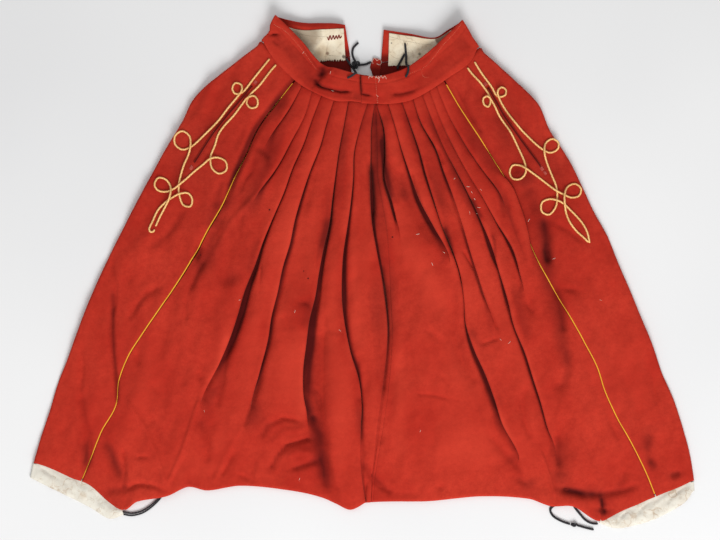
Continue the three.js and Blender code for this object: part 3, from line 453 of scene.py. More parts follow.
# soft hollows and ridges laid over the folds: half width, height, then x and y of each point
frontCreases = [
    (8, -2.5, -197, 252, -207, 229, -218, 208), (7, -3.5, -180, 213, -168, 207, -160, 196, -160, 186),
    (5.5, -2.2, -184, 173, -199, 157, -207, 133), (8, -3, -235, 161, -245, 132, -248, 106),
    (9.5, -3, -233, 99, -243, 79, -257, 55), (8, -5.5, -272, 50, -277, 35, -280, 18),
    (8, -4, -264, 25, -279, -3, -292, -33), (9.5, -2.6, -299, 110, -323, 72, -357, 42),
    (7, -2, -202, 103, -207, 69), (8, 2, -187, 191, -202, 174, -214, 149),
    (7, 1.8, -170, 140, -194, 115, -221, 86, -250, 30), (5, -2, -427, 18, -416, -21, -420, -64),
    (6, -4.2, -422, -55, -425, -98, -422, -140, -416, -186, -415, -220), (5.5, -2, -401, 11, -393, -23),
    (8, -3, -340, -23, -366, -37, -384, -59, -398, -84), (7, -2, -474, -123, -474, -169, -478, -203),
    (9, -4.2, -478, -203, -473, -237, -464, -271, -466, -305, -471, -336),
    (11, -4, -442, -278, -432, -305, -416, -339), (4, -4.5, -405, -298, -401, -336, -403, -373),
    (8, -4, -439, -371, -408, -368, -377, -360, -354, -363, -330, -377),
    (5.5, -2.5, -384, -312, -360, -312), (11, -1.6, -338, -77, -330, -128),
    (8, -2.4, -384, -135, -376, -159), (8, -2.4, -280, -166, -270, -183),
    (12, -1.8, -360, -183, -338, -213), (11, -3, -364, -239, -347, -261, -333, -298),
    (5.5, -2, -299, -43, -296, -84), (5.5, -2.2, -252, -176, -265, -200, -270, -220),
    (9.5, -4, -277, -241, -267, -268, -260, -295, -264, -326),
    (7, -3, -214, -111, -230, -145, -235, -183, -246, -230), (4, 1.8, -207, -264, -230, -310, -253, -360),
    (5.5, -2.5, -219, -305, -240, -349), (7, -3.2, -211, -343, -190, -356),
    (5, 2, -274, -213, -291, -264, -304, -302, -328, -356),
    (5, 2, -396, -217, -367, -264, -347, -312, -332, -356), (16.5, -2.6, -255, -13, -224, -11, -194, 4),
    (16.5, 1.5, -292, -145, -267, -123), (7, -6, -83, -198, -75, -213, -71, -229),
    (7, -5.5, -87, -242, -76, -254), (13.5, -2, -75, -259, -70, -293, -65, -336),
    (9.5, -6, -65, -305, -61, -336, -60, -370), (16, -2.6, -73, -89, -75, -149, -75, -208),
    (10, -2, -76, -205, -71, -251, -66, -302), (5.5, -3, -7, -145, -7, -183, -3, -220),
    (5.5, -3.5, -3, -208, -2, -242, -2, -285), (11, -2.2, 19, 30, 17, -47, 24, -123, 31, -200, 26, -259),
    (7, -3, 34, 18, 44, -47, 49, -89, 42, -132, 36, -203), (13.5, -1.8, 31, -268, 32, -293),
    (9.5, -4.5, -2, -315, 15, -343, 34, -363, 54, -382), (5, -3, 7, -356, 3, -387),
    (3.5, -2.2, -170, 16, -173, -21, -172, -47), (5.5, -4, -100, -47, -90, -59),
    (16.5, -2.4, -133, -67, -124, -101), (6, -3.8, -172, -280, -160, -258, -134, -246, -105, -251),
    (7, 2, -160, -295, -131, -269, -95, -263),
    (5.5, -4.8, -156, -336, -144, -310, -129, -293, -112, -288, -85, -280),
    (8, 2.2, -131, -312, -105, -302, -85, -305), (7, -4.5, -122, -334, -99, -326, -73, -317),
    (4, -2.5, -180, -315, -185, -339, -184, -363),
    (7, -3.2, -168, -169, -180, -203, -194, -242, -199, -264),
    (22, -2.6, 126, -33, 146, -77, 163, -123, 184, -176), (4, -1.6, 133, -171, 160, -212),
    (4, -1.6, 92, -205, 126, -208, 162, -218), (8, -1.6, 107, -93, 136, -118),
    (11, 1.6, 61, -77, 66, -152), (5.5, -1.4, 80, -123, 88, -166, 94, -208),
    (9.5, -2, 126, -365, 144, -371), (8, -2, 54, -380, 99, -380),
    (13.5, -3, 150, -40, 160, -98, 175, -152, 197, -196),
    (9.5, -3.6, 216, -271, 235, -297, 255, -319, 270, -339), (8, -4, 264, -343, 274, -363),
    (8, -3, 280, -190, 272, -217, 275, -251, 287, -285), (4, 2.2, 303, -305, 318, -346, 326, -380),
    (8, -4, 332, -268, 330, -302, 335, -334), (13, -6, 330, -366, 354, -373, 385, -378),
    (8, -4, 381, -377, 411, -375, 442, -370, 466, -360), (5.5, -6, 408, -380, 408, -400, 418, -409),
    (8, -5, 311, 45, 318, 14), (9.5, -5.5, 325, -20, 335, -47, 340, -77, 342, -105),
    (7, -2.5, 337, -26, 367, -31), (12, -3.5, 347, -118, 350, -159, 343, -186, 321, -201),
    (8, 2, 337, -213, 330, -251), (9.5, -3.2, 450, -329, 442, -353, 428, -370),
    (9.5, -3, 490, -264, 484, -295, 493, -329), (8, -3.4, 520, -346, 544, -337),
    (5.5, -1.4, 493, -169, 498, -225), (5.5, -1.6, 410, -217, 422, -258, 437, -285),
    (8, -2.4, 277, -50, 291, -71), (4, -2.6, 202, -122, 230, -111),
    (4, -3, 170, 38, 190, 4, 202, -30, 216, -59, 230, -98), (7, -5, 12, 191, 17, 149, 20, 115, 19, 93),
    (19, -3.2, 51, 178, 71, 140, 88, 106, 116, 59), (4, -4.5, 83, 171, 92, 140, 100, 113, 112, 86),
    (13.5, 2.2, 48, 205, 61, 191, 71, 174), (15, 3, 126, 123, 146, 99, 163, 86),
    (13.5, 3, 105, 59, 126, 38, 153, 8), (4, -3, 107, 188, 117, 157), (4, -4, 126, 212, 138, 183),
    (12, 2.2, -83, 120, -92, 82), (16.5, -1.8, -92, 208, -78, 149), (13.5, -1.8, -29, 256, -20, 234),
    (5, -3.5, 158, 320, 172, 293, 185, 266, 204, 235), (13.5, -2.5, 194, 320, 204, 286),
    (19, -3.6, 224, 286, 238, 246, 253, 205), (13.5, -4, 258, 184, 265, 164),
    (17.5, -4.5, 275, 154, 289, 123, 304, 93), (12, -5.5, 306, 99, 313, 62, 314, 25, 311, 8),
    (7, -2.4, 325, 84, 350, 71, 377, 50), (12, -1.6, -267, 307, -282, 280, -296, 259)
]
frontLaps = [
    (7, 5.5, -61, -98, -60, -183, -60, -242, -57, -280, -52, -319, -48, -344, -42, -365, -39, -397)
]
# shallow creases on the side that lies on the floor, in the same uneven spacing as the front's
backCreases = [
    (9, 1.8, -60, 300, -110, 180, -160, 60, -190, -60), (8, 1.6, -30, 250, -60, 120, -75, -20, -95, -130),
    (10, 1.5, -150, 310, -230, 170, -300, 30, -360, -110),
    (7, 1.4, -10, 180, -20, 40, -15, -110, -40, -230), (9, 1.8, 70, 300, 110, 190, 150, 70, 170, -70),
    (8, 1.6, 40, 240, 70, 110, 80, -40, 110, -180), (10, 1.5, 160, 290, 240, 160, 300, 20, 350, -130),
    (7, 1.5, 120, 240, 180, 110, 230, -50, 240, -200), (12, 1.3, -420, -60, -440, -160, -430, -270),
    (12, 1.3, 430, -60, 450, -170, 440, -280), (8, 1.2, -300, -180, -250, -250, -170, -290),
    (8, 1.2, 280, -200, 220, -270, 150, -310)
]
# painted shade in bands where the wool should be darker (above 0), painted highlight where it should be paler
# (below 0)
paintedShadeAndLightBands = [
    (10, -0.25, -122, 314, -144, 283), (10, -0.25, -187, 212, -201, 178),
    (10, -0.25, -221, 149, -231, 116), (10, -0.25, -163, 55, -177, 4), (14, -0.22, -219, -94, -238, -152),
    (12, -0.3, -75, -21, -76, -64, -87, -111, -95, -174, -97, -220), (12, -0.2, -22, -60, -10, -152),
    (10, -0.18, 133, 50, 160, 8), (10, -0.18, 199, 81, 214, 42), (12, -0.2, 241, -43, 253, -84),
    (10, -0.25, 235, -258, 253, -288), (90, -0.08, 116, -123, 119, -242),
    (41, -0.1, -148, -123, -131, -191), (35, 0.17, -100, -33, -100, -106),
    (16, 0.2, -129, 42, -156, -47, -165, -118), (14, 0.22, -53, 144, -66, 26),
    (14, 0.2, -12, -123, -7, -259), (30, 0.12, 20, 8, 26, -101), (16, 0.17, 60, 188, 73, 111),
    (16, 0.27, 90, 266, 107, 247), (10, 0.2, 146, 55, 155, 18), (14, 0.2, 177, -84, 185, -135),
    (18, 0.2, -252, 96, -255, 72), (24, 0.2, 338, -332, 337, -363), (24, 0.13, -236, -3, -197, -23),
    (33, 0.13, -20, 273, 31, 261), (16, -0.27, -148, 293, -170, 251, -190, 208, -221, 140),
    (14, -0.33, -221, -98, -238, -149, -262, -203), (8, -0.2, -165, 38, -177, -4, -190, -47),
    (14, -0.25, -134, 30, -144, -47, -156, -115, -170, -191, -182, -234),
    (12, -0.33, -75, 21, -75, -47, -87, -115, -95, -183, -100, -251),
    (12, -0.25, -27, -47, -17, -132, 0, -183, 5, -234), (24, -0.14, 39, 157, 48, 89, 51, 4),
    (12, -0.22, 87, 268, 95, 225, 116, 123, 138, 55, 158, -4),
    (12, -0.33, 180, -106, 204, -166, 221, -225, 243, -271),
    (14, -0.22, 243, -47, 260, -106, 277, -166, 296, -208), (10, -0.2, 201, 89, 221, 38, 235, -13),
    (41, -0.14, -280, 273, -250, 302), (41, -0.14, 280, 310, 313, 217), (41, -0.12, -255, 47, -221, 50),
    (24, -0.12, -335, -331, -267, -336, -221, -332), (24, 0.3, -99, -33, -97, -106),
    (14, 0.25, -133, 35, -153, -47, -170, -118), (14, 0.2, -54, 157, -63, 89, -75, 38),
    (12, 0.25, -37, -30, -34, -89, -27, -132), (12, 0.25, -10, -140, -8, -217, -7, -285),
    (33, 0.2, 14, -4, 22, -64, 27, -123), (20, 0.17, -7, 208, -2, 123, 0, 38),
    (18, 0.3, 63, 183, 68, 140, 71, 110), (20, 0.2, 24, 276, 31, 246), (41, 0.1, 133, 242, 197, 191),
    (24, 0.27, 270, 171, 282, 144), (16, 0.27, 325, -43, 335, -106, 350, -169),
    (16, 0.2, 340, -281, 335, -339), (20, 0.22, 275, -353, 289, -368), (30, 0.12, 490, -251, 500, -271),
    (14, 0.2, 163, -43, 177, -84), (10, 0.2, 224, -247, 236, -285), (16, 0.17, -246, 123, -253, 86),
    (16, 0.2, -105, 171, -107, 133), (41, 0.08, -80, 259, -24, 242),
    (12, 0.3, -472, -280, -470, -305, -467, -332), (10, 0.35, -430, -285, -418, -320, -408, -353),
    (7, 0.5, 398, -406, 408, -407.5, 419, -406), (6.1, 0.45, 404, -380, 406, -390, 410, -401),
    (9.5, 0.26, 521, -343, 531, -344, 542, -341), (10, 0.35, 484, -318, 492, -326, 501, -332),
    (16, 0.25, 480, -270, 482, -290, 486, -306), (14.3, 0.2, 387, -366, 402, -375, 414, -386),
    (110, -0.08, -505, -140, -475, -240, -440, -330), (70, 0.09, -90, 225, -55, 150),
    (150, 0.13, -75, 262, -62, 90), (150, 0.13, 70, 262, 95, 80), (50, 0.09, -20, 285, -10, 225),
    (60, 0.08, 130, 190, 185, 105), (6.1, 0.55, 34, 229, 38, 179, 50, 121),
    (8.2, 0.45, 15, 179, 17, 123, 19, 72), (6.1, 0.65, 138, 81, 148, 50, 155, 26),
    (5.1, 0.55, 184, 127, 194, 108, 204, 89), (6.1, 0.65, 219, 69, 224, 45, 226, 18),
    (18.5, 0.42, -119, 307, -170, 234, -207, 166, -238, 98),
    (16.5, 0.22, -100, 293, -138, 225, -170, 157, -199, 98), (22.5, 0.3, -228, 69, -255, 35, -289, -6),
    (12, 0.4, -170, 64, -192, -21, -214, -106), (12, 0.5, -53, 98, -75, 21, -87, -98, -92, -217),
    (14.5, 0.3, -92, -217, -78, -285, -65, -361), (12, 0.22, -27, 242, -36, 89, -36, -47, -26, -166),
    (24.5, 0.26, 14, 276, 24, 208, 31, 98, 37, -47, 31, -200),
    (10, 0.35, 39, 273, 41, 208, 48, 149, 60, 106), (16.5, 0.42, 71, 280, 99, 208, 129, 123, 155, 35),
    (16.5, 0.3, 107, 273, 150, 191, 192, 98, 221, 35),
    (20.5, 0.22, 158, 251, 201, 195, 252, 123, 286, 69), (18.5, 0.32, 303, 103, 311, 18, 320, -47),
    (12, 0.4, 180, -89, 212, -179, 236, -237), (14.5, 0.25, 235, 38, 260, -47, 279, -123),
    (12, 0.3, -211, -81, -228, -149, -255, -217), (14.5, 0.22, -160, -98, -177, -191, -190, -268),
    (28.5, 0.16, -216, 4, -190, 18, -148, -4), (12, 0.45, 337, -370, 371, -375, 400, -377),
    (6, 0.3, -423, -30, -420, -115, -415, -217), (28.5, -0.42, 56, 64, 107, -4, 150, -89),
    (20.5, -0.3, -105, 115, -131, 18, -160, -98), (61, -0.16, -360, -98, -386, -234),
    (81.5, -0.2, 405, -98, 473, -259), (49, -0.28, 99, -310, 184, -302, 269, -293),
    (12, -0.25, -10, 225, -17, 38, 0, -132), (16.5, -0.32, 141, 132, 163, 99, 184, 69),
    (16.5, -0.3, 56, 242, 61, 191, 71, 132), (16.5, -0.22, 61, -115, 65, -217, 61, -319),
    (20.5, -0.25, -37, -217, -41, -285, -34, -353), (28.5, -0.2, -224, -251, -258, -310),
    (18.5, -0.25, -71, 242, -95, 140), (49, 0.16, -233, 293, -284, 208, -326, 123),
    (49, 0.14, 235, 302, 303, 208, 362, 115), (45, -0.12, -394, -302, -275, -336, -156, -336)
]
# slow swelling of each piece by itself: seed, shortest and longest wave, height
swells = {"back": (31, 60, 240, 0.7), "band": (3, 22, 90, 0.7), "bandBehind": (5, 25, 80, 0.8),
          "facing": (11, 12, 45, 0.5), "tab": (31, 8, 20, 0.4), "cuff": (23, 9, 40, 0.7)}
# slow swelling: how much y counts, seed, shortest and longest wave, height
swelling = [(0.6, 7, 40, 150, 2.4), (0.5, 19, 12, 40, 1.0)]
# ripples that spread as the pleats do: the height where they would meet, and the width at which they are even
fanRipples = {"meet": 760, "even": 420, "alongShare": 0.12, "seed": 5, "shortest": 16, "longest": 44,
              "height": 1.5}


def hemAt(x):
    return lookUp(hemX, hemY, x)


def onLine(line, down):
    return through(line["x"], down), mix(line["topY"], hemAt(line["x"][-1]), down)


def atLeast(line, part, down, least=0):
    return np.maximum(through(line[part], down), least)


def bagShare(x):
    # 1 on the bottom of the bag, 0 at a cuff
    return 1 - smoothStep(cloth["bagHalf"] - 16, cloth["bagHalf"] + 16, np.abs(x))


def tieLift(x):
    # the leg ties pass under the hem here
    nearest = np.minimum(*[np.abs(x - place) for place in cloth["ties"]])
    return cloth["tieRise"] * (1 - smoothStep(cloth["tieHalf"], cloth["tieHalf"] + cloth["tieEdge"], nearest))


def crownAt(lines, x, down):
    outer, middle = through(lines["outline"]["x"], down), through(lines["middle"]["x"], down)
    inwards = np.clip((x - outer) / (middle - outer), 0, 1)
    edge = lookUp(crown["down"], crown["edge"], down)
    bottom = mix(cloth["cuffEdgeZ"], cloth["hemTopZ"], bagShare(x))
    full = mix(lookUp(crown["down"], crown["full"], down), bottom, smoothStep(crown["hemFrom"], 1, down))
    rounded = mix(np.minimum(edge, full), full, smoothStep(0, crown["edgeShare"], inwards))
    return rounded + tieLift(x) * smoothStep(0.93, 1, down)


def between(outer, inner, across, down):
    # a point between two neighbouring lines, across from 0 on the outer to 1 on the inner
    xA, yA = onLine(outer, down)
    xB, yB = onLine(inner, down)
    ends = mix(hemAt(outer["x"][-1]), hemAt(inner["x"][-1]), across)
    lowX = mix(outer["x"][-1], inner["x"][-1], across)
    return mix(xA, xB, across), mix(yA, yB, across) + (hemAt(lowX) - ends) * smoothStep(0.55, 1, down)


def softFolds(x, y, down):
    # everything softer than a pleat: creases, slow swelling and small unevenness
    free = smoothStep(0.0, 0.06, down) * (1 - 0.5 * smoothStep(0.96, 1, down))
    creases = cloth["creaseGain"] * creaseHeight(frontCreases, x, y, frontLaps) * free
    waves = sum(gentleWaves(x, share * y, *wave) for share, *wave in swelling)
    fan = x * fanRipples["even"] / (fanRipples["meet"] - y)
    waves += gentleWaves(fan, fanRipples["alongShare"] * y, fanRipples["seed"], fanRipples["shortest"],
                         fanRipples["longest"], fanRipples["height"])
    return creases + waves * free, creases


def hollowShade(creases):
    # painted shade in the hollows of creases, added over what the light gives
    return 0.5 * np.clip(-creases / 8, 0, 1) ** 1.5


def reliefShade(z, reach, span):
    # above 0 where the cloth lies lower than what is round it, below 0 where it stands higher
    kernel = np.hanning(2 * reach + 3)[1:-1]
    kernel /= kernel.sum()
    padded = np.pad(z, ((0, 0), (reach, reach)), mode="edge")
    around = np.stack([np.convolve(row, kernel, mode="valid") for row in padded])
    return np.clip((around - z) / span, -1, 1)


def spread(down, grid):
    return np.repeat(down[:, None], grid.shape[1], axis=1)


# how much painted shade near and far relief puts on the wool (painted highlight where it stands higher):
# shares low and high on the body, reach in columns, span
relief = {"near": (0.26, 0.4, 9, 1.6), "far": (0.28, 30, 3.5), "upper": (-20, 140, 0.05)}
# one pleat from its rolled edge, under itself and up again: fixed millimetres, shares of tuck, gap and
# rest of the width, drop as a share of the depth, painted shade in the fold, and steps to the next point
pleat = {
    "fixed": [0, 1.5, 2.1, 1.3, 0, 0, -1.0, 0, 0.8, 0, 0, 0],
    "tuck": [0, 0, 0, 0, -0.5, -1, -1, -0.6, 0, 0, 0, 0],
    "gap": [0, 0, 0, 0, 0, 0, 0, 0, 0, 1, 1, 1],
    "rest": [0, 0, 0, 0, 0, 0, 0, 0, 0, 0, 0.15, 0.42],
    "drop": [0, 0.08, 0.25, 0.43, 0.53, 0.60, 0.74, 0.93, 1.0, 0.97, 0.42, 0.10],
    "dark": [0, 0, 0.1, 0.5, 0.8, 1, 1, 1, 1, 0.7, 0.05, 0],
    "steps": [1, 1, 1, 1, 1, 1, 1, 1, 2, 4, 5, 5],
    "tuckWidth": 4.0, "tuckShare": 0.3, "gapShare": 0.55, "foldedFrom": 4.5, "fullDepth": 6,
}
# from the piping inwards: share of the way and of the drop where the cloth only rises; where a flap folds
# over the hip and back, its share and shift, and how far it stands up (none: as where it rises)
hip = {"start": 0.9, "steps": 2, "foldedFrom": 6, "points": [
    (0.0, 1, 0, 0.9, None), (0.10, 0.85, -0.45, 0.9, -0.4), (0.2, 0.7, -1, 2, -2.0),
    (0.31, 0.52, -1, -0.6, -2.4), (0.43, 0.36, -1, -1.5, -3.3), (0.56, 0.2, -1, -0.4, -4.3),
    (0.7, 0.1, -1, 4, -4.6), (0.85, 0.03, 0, 4, -2.6)]}
# from the piping outwards: distance, share of the drop and steps; then shares of the plain cloth beyond
hipBack = {"points": [(0.9, 1, 2), (1.8, 0.9, 2), (3, 0.7, 2), (4.5, 0.42, 2), (6.5, 0.16, 2), (9, 0, 6)],
           "plain": (0.16, 0.34, 0.54, 0.74, 0.9), "plainSteps": 8}


def rolledEdge(rim, low, count, outwards, downwards):
    # the rows of an edge that rolls half round and under, down to the height low
    reach = (rim[:, 2] - low) / 2
    return [np.stack([rim[:, 0] + outwards * math.sin(angle), rim[:, 1] - downwards * reach * math.sin(angle),
                      low + reach * (1 + math.cos(angle))], axis=1)
            for angle in np.linspace(0, math.pi, count + 1)[1:]]


def frontGrid(lines, side, seamY):
    rows = cloth["rows"]
    down = np.linspace(0, 1, rows + 1)
    names = [name for name in lines if name != "outline"]
    columns, steps, dark = [], [], []

    def addPoint(outer, inner, width, offset, drop, count, shadow=0):
        x, y = between(lines[outer], lines[inner], offset / width, down)
        columns.append(np.stack([x, y, crownAt(lines, x, down) - drop], axis=1))
        dark.append(np.broadcast_to(shadow, down.shape))
        steps.append(count)

    width = np.abs(through(lines[names[0]]["x"], down) - through(lines[names[1]]["x"], down))
    depth = atLeast(lines["piping"], "depth", down)
    flap = atLeast(lines["piping"], "flap", down)
    folded = smoothStep(0, hip["foldedFrom"], flap)
    for share, rise, flapShare, shift, fold in hip["points"]:
        offset = mix(hip["start"] + share * (width - hip["start"]), flapShare * flap + shift, folded)
        drop = depth * rise if fold is None else mix(depth * rise, fold, folded)
        addPoint(names[0], names[1], width, offset, drop, hip["steps"])

    share = np.cumsum([0] + pleat["steps"]) / sum(pleat["steps"])
    for i in range(1, len(names) - 1):
        outer, inner = names[i], names[i + 1]
        width = np.abs(through(lines[outer]["x"], down) - through(lines[inner]["x"], down))
        depth = atLeast(lines[outer], "depth", down)
        gap = np.minimum(atLeast(lines[outer], "gap", down, 1), pleat["gapShare"] * width)
        sink = atLeast(lines[inner], "depth", down) if i + 2 == len(names) else 0 * down
        folded = smoothStep(0, pleat["foldedFrom"], depth)
        small = np.minimum(1, depth / pleat["fullDepth"])
        tuck = np.minimum(pleat["tuckWidth"], pleat["tuckShare"] * width)
        for k, count in enumerate(pleat["steps"]):
            foldOffset = (pleat["fixed"][k] * small + pleat["tuck"][k] * tuck + pleat["gap"][k] * gap
                          + pleat["rest"][k] * (width - gap))
            offset = mix(share[k] * width, foldOffset, folded)
            drop = depth * pleat["drop"][k] + sink * (1 - pleat["drop"][k]) * share[k]
            # painted shade in the open gap of the fold, once the fold is deep enough
            shadow = pleat["dark"][k] * smoothStep(*cloth["paintedFoldShade"], depth)
            addPoint(outer, inner, width, offset, drop, count, shadow)
    dark.append(0 * down)
    x, y = between(lines[names[-2]], lines[names[-1]], 1.0, down)
    z = crownAt(lines, x, down) - through(lines["middle"]["depth"], down)
    columns.append(np.stack([x + side * cloth["middleGap"], y, z], axis=1))
    grid = threadThrough(np.stack(columns, axis=1), steps)
    places = np.concatenate([[0], np.cumsum(steps)])
    dark = np.stack([np.interp(np.arange(grid.shape[1]), places, row) for row in np.stack(dark, axis=1)])

    downs = spread(down, grid)
    x, y, z = grid[..., 0], grid[..., 1], grid[..., 2]
    folds, creases = softFolds(x, y, downs)
    form = z.copy()
    # worn here holds the painted shade and painted highlight bands
    worn = cloth["paintedBandGain"] * creaseHeight(paintedShadeAndLightBands, x, y)
    z += folds
    z[:] = np.maximum(z, cloth["lowest"])
    grid[0, :, 1] += cloth["bandTuck"]
    bag = np.abs(x[-1]) < cloth["bagHalf"]
    reach = (z[-1] - cloth["underZ"] - tieLift(x[-1])) / 2
    y += np.where(bag, reach, 0) * smoothStep(cloth["rollFrom"], 1, downs)

    # the lower edge rolls under between the cuffs and lies flat on the way back
    bottom = grid[-1]
    low = cloth["underZ"] + tieLift(bottom[:, 0])
    rolled = rolledEdge(bottom, low, cloth["rollSteps"], 0, 1)
    for t in cloth["flapRows"]:
        x = mix(bottom[:, 0], mix(bottom[:, 0], cloth["centreX"], cloth["flapDraw"]), t)
        rolled.append(np.stack([x, mix(bottom[:, 1], seamY - cloth["seamGap"], t), low], axis=1))
    grid = np.concatenate([grid, np.stack(rolled)], axis=0)
    kept = np.ones((grid.shape[0] - 1, grid.shape[1] - 1), bool)
    kept[rows:, ~(bag[:-1] & bag[1:])] = False
    shade = np.zeros(grid.shape[:2])
    low, high, more = relief["upper"]
    upper = smoothStep(low, high, y)
    nearLow, nearHigh, *near = relief["near"]
    farShare, *far = relief["far"]
    # painted shade where the pleats lie lower than what is round them, painted highlight where they stand
    # higher
    marks = mix(nearLow, nearHigh, upper) * reliefShade(form, *near) + farShare * reliefShade(form, *far)
    marks = (marks + more * upper) * smoothStep(0, 0.02, downs)
    # painted shade in the fold gaps and crease hollows, with the relief marks and the painted bands, all put
    # into the colour
    shade[:rows + 1] = np.clip(np.maximum(dark, hollowShade(creases)) + marks + worn, -1, 1)
    return grid, kept, shade


def backGrid(lines, bandEnd, side, seamY):
    rows = cloth["rows"]
    down = np.linspace(0, 1, rows + 1)
    outline, piping = lines["outline"], lines["piping"]
    xSeam = through(piping["x"], down)
    width = np.abs(xSeam - through(outline["x"], down))
    depth = atLeast(piping, "depth", down)
    valley = 1 + atLeast(piping, "valley", down)
    columns, steps = [], []

    def addPoint(outward, drop, count):
        x, y = between(outline, piping, 1 - outward / width, down)
        columns.append(np.stack([x, y, crownAt(lines, x, down) - drop], axis=1))
        steps.append(count)

    for number, (outward, share, count) in enumerate(hipBack["points"]):
        addPoint(outward * valley if number else outward, depth * share, count)
    turnIn = cloth["edgeTurn"]
    for part in hipBack["plain"]:
        addPoint(mix(outward * valley, width - turnIn, part), 0, hipBack["plainSteps"])
    addPoint(width - turnIn, 0, 1)
    upper = threadThrough(np.stack(columns, axis=1), steps[:-1])
    downs = spread(down, upper)
    x, y, z = upper[..., 0], upper[..., 1], upper[..., 2]
    # painted shade where the cloth sinks below its crown and in crease hollows, with the painted bands
    sunkFrom, sunkTo, paintedSunkShade = cloth["paintedSunkShade"]
    sunk = smoothStep(sunkFrom, sunkTo, crownAt(lines, x, downs) - z)
    folds, creases = softFolds(x, y, downs)
    z += folds
    z[:] = np.maximum(z, cloth["lowestBack"])
    shadeUpper = np.maximum(paintedSunkShade * sunk, hollowShade(creases))
    shadeUpper = shadeUpper + cloth["paintedBandGain"] * creaseHeight(paintedShadeAndLightBands, x, y)
    inwards = np.abs(x[0] - xSeam[0]) / width[0]
    outerTuck = -cloth["gap"] - 0.1 if side < 0 else cloth["sideTuck"]
    y[0] += mix(outerTuck, cloth["bandTuck"], smoothStep(*cloth["tuckedOver"], inwards))

    rim = upper[:, -1]
    around = rolledEdge(rim, cloth["underZ"], cloth["edgeSteps"], side * (turnIn - 1), 0)

    # the side on the floor: down to the seam of the bag all the way in, below it only as far as the leg
    centre, seamDown = cloth["centreX"], cloth["seamDown"]
    endX, endY = bandEnd
    topLeft, topHigh = outline["x"][0], outline["topY"]
    slit = (1 - smoothStep(0, 1, down * (endY - seamY) / cloth["slitLength"])) * abs(endX - centre)
    xInner = centre + side * (slit + cloth["slitGap"])
    rimHem = outline["x"][-1] - side * turnIn
    inner = np.linspace(0, 1, cloth["underSteps"] + 1)[1:]
    bagTurn = (side * cloth["bagHalf"] - rimHem) / (centre - rimHem)
    bagPlace = int(np.argmin(np.abs(inner - bagTurn)))
    inner[bagPlace] = bagTurn
    under = []
    for t in inner:
        lowX = mix(rimHem, centre, t)
        topX = mix(topLeft, endX + side * cloth["slitGap"], t)
        topY = mix(topHigh, endY, (topX - topLeft) / (endX - topLeft))
        hemLow = hemAt(lowX)
        toSeam = 1 - smoothStep(cloth["bagHalf"], cloth["bagEdge"], abs(lowX))
        atSeamRow = mix(mix(topY, hemLow, seamDown), seamY, toSeam)
        above = mix(topY - cloth["gap"] - cloth["seamGap"], atSeamRow, np.minimum(1, down / seamDown))
        below = mix(above, hemLow, (down - seamDown) / (1 - seamDown))
        y = np.where(down <= seamDown, above, below)
        under.append(np.stack([mix(rim[:, 0], xInner, t), y, np.full_like(y, cloth["underZ"])], axis=1))
    under = np.stack(under, axis=1)
    settled = smoothStep(0.0, 0.1, inner) * smoothStep(0, 0.04, 1 - inner)
    settled = smoothStep(0, 0.06, down)[:, None] * settled
    x, y = under[..., 0], under[..., 1]
    lift = creaseHeight(backCreases, x, y) + gentleWaves(x, y, *swells["back"])
    under[..., 2] += np.clip(lift, 0, cloth["underLift"]) * settled
    grid = np.concatenate([upper, np.stack(around, axis=1), under], axis=1)
    kept = np.ones((rows, grid.shape[1] - 1), bool)
    kept[int(round(rows * seamDown)):, upper.shape[1] + len(around) + bagPlace:] = False
    shade = np.zeros(grid.shape[:2])
    shade[:, :upper.shape[1]] = shadeUpper
    return grid, kept, shade


bandEnds = {"left": [-20, 366], "right": [32, 357]}
bodyLines = {"left": leftLines, "right": rightLines}
bodyMeshes = {}
for half, side in halves:
    made = {"front": frontGrid(bodyLines[half], side, underSeam[half]),
            "back": backGrid(bodyLines[half], bandEnds[half], side, underSeam[half])}
    for part, (grid, kept, shade) in made.items():
        # the inner wall carries painted shade all over, as the inside of the garment
        values = {"paintedShading": (shade, np.full_like(shade, cloth["paintedInsideShade"]))}
        turned = (side > 0) == (part == "front")
        bodyMeshes[part + "_" + half] = clothMesh(part + "Cloth_" + half, grid, cloth["wall"], turned, values,
                                                  kept)
print("body cloth made")

band = {"wall": 2.5, "seamZ": 17.4, "lapStep": 3.1, "lapLow": 0.35, "underStep": 1.6, "frontSteps": 190,
        "backSteps": 80, "across": 34, "turnOut": 1.6, "turnLow": 6, "notch": 5, "paintedEdgeShade": 0.6,
        "paintedFoldShade": 0.75, "lowest": 1.3, "crown": 0.7, "seamDip": 0.9, "seamAt": 0.27, "seamHalf": 0.006,
        "wrinkleShade": 1.5, "upperPart": (0.26, 0.42), "lapAlong": (0.72, 0.85), "underAlong": (0.9, 0.97),
        "pinchAt": 0.36, "pinchHalf": 0.2, "pinchAlong": 0.09, "notchRight": 0.25, "turnSteps": 9,
        "evenSide": 0.06, "evenLow": 0.3, "backRise": (0.1, 1.05), "deepest": -0.6,
        "foldAcross": (0.12, 0.34), "edgeAcross": (0.8, 0.9), "edgeEnd": 0.97}
# edges of the front of the band from the side to the middle, and how much the upper one stands up
bandTables = {
    "left": {"lower": [[-168, 391.5], [-145, 356], [-103, 317], [-51, 292], [-15, 289], [16, 285]],
             "upper": [[-145, 433.6], [-104, 393], [-70, 354], [-42, 344], [-8, 335], [16, 331]],
             "rise": [5, 5, 4, 4, 3, 0]},
    "right": {"lower": [[196, 381], [180, 353], [147, 330], [115, 308], [82, 291], [49, 285], [24, 285],
                        [-1, 286]],
              "upper": [[168, 425], [148, 405], [120, 379], [87, 353], [67, 342], [42, 334], [24, 331],
                        [-1, 332]],
              "rise": [6, 5, 5, 4, 3, 3, 3, 3]},
}
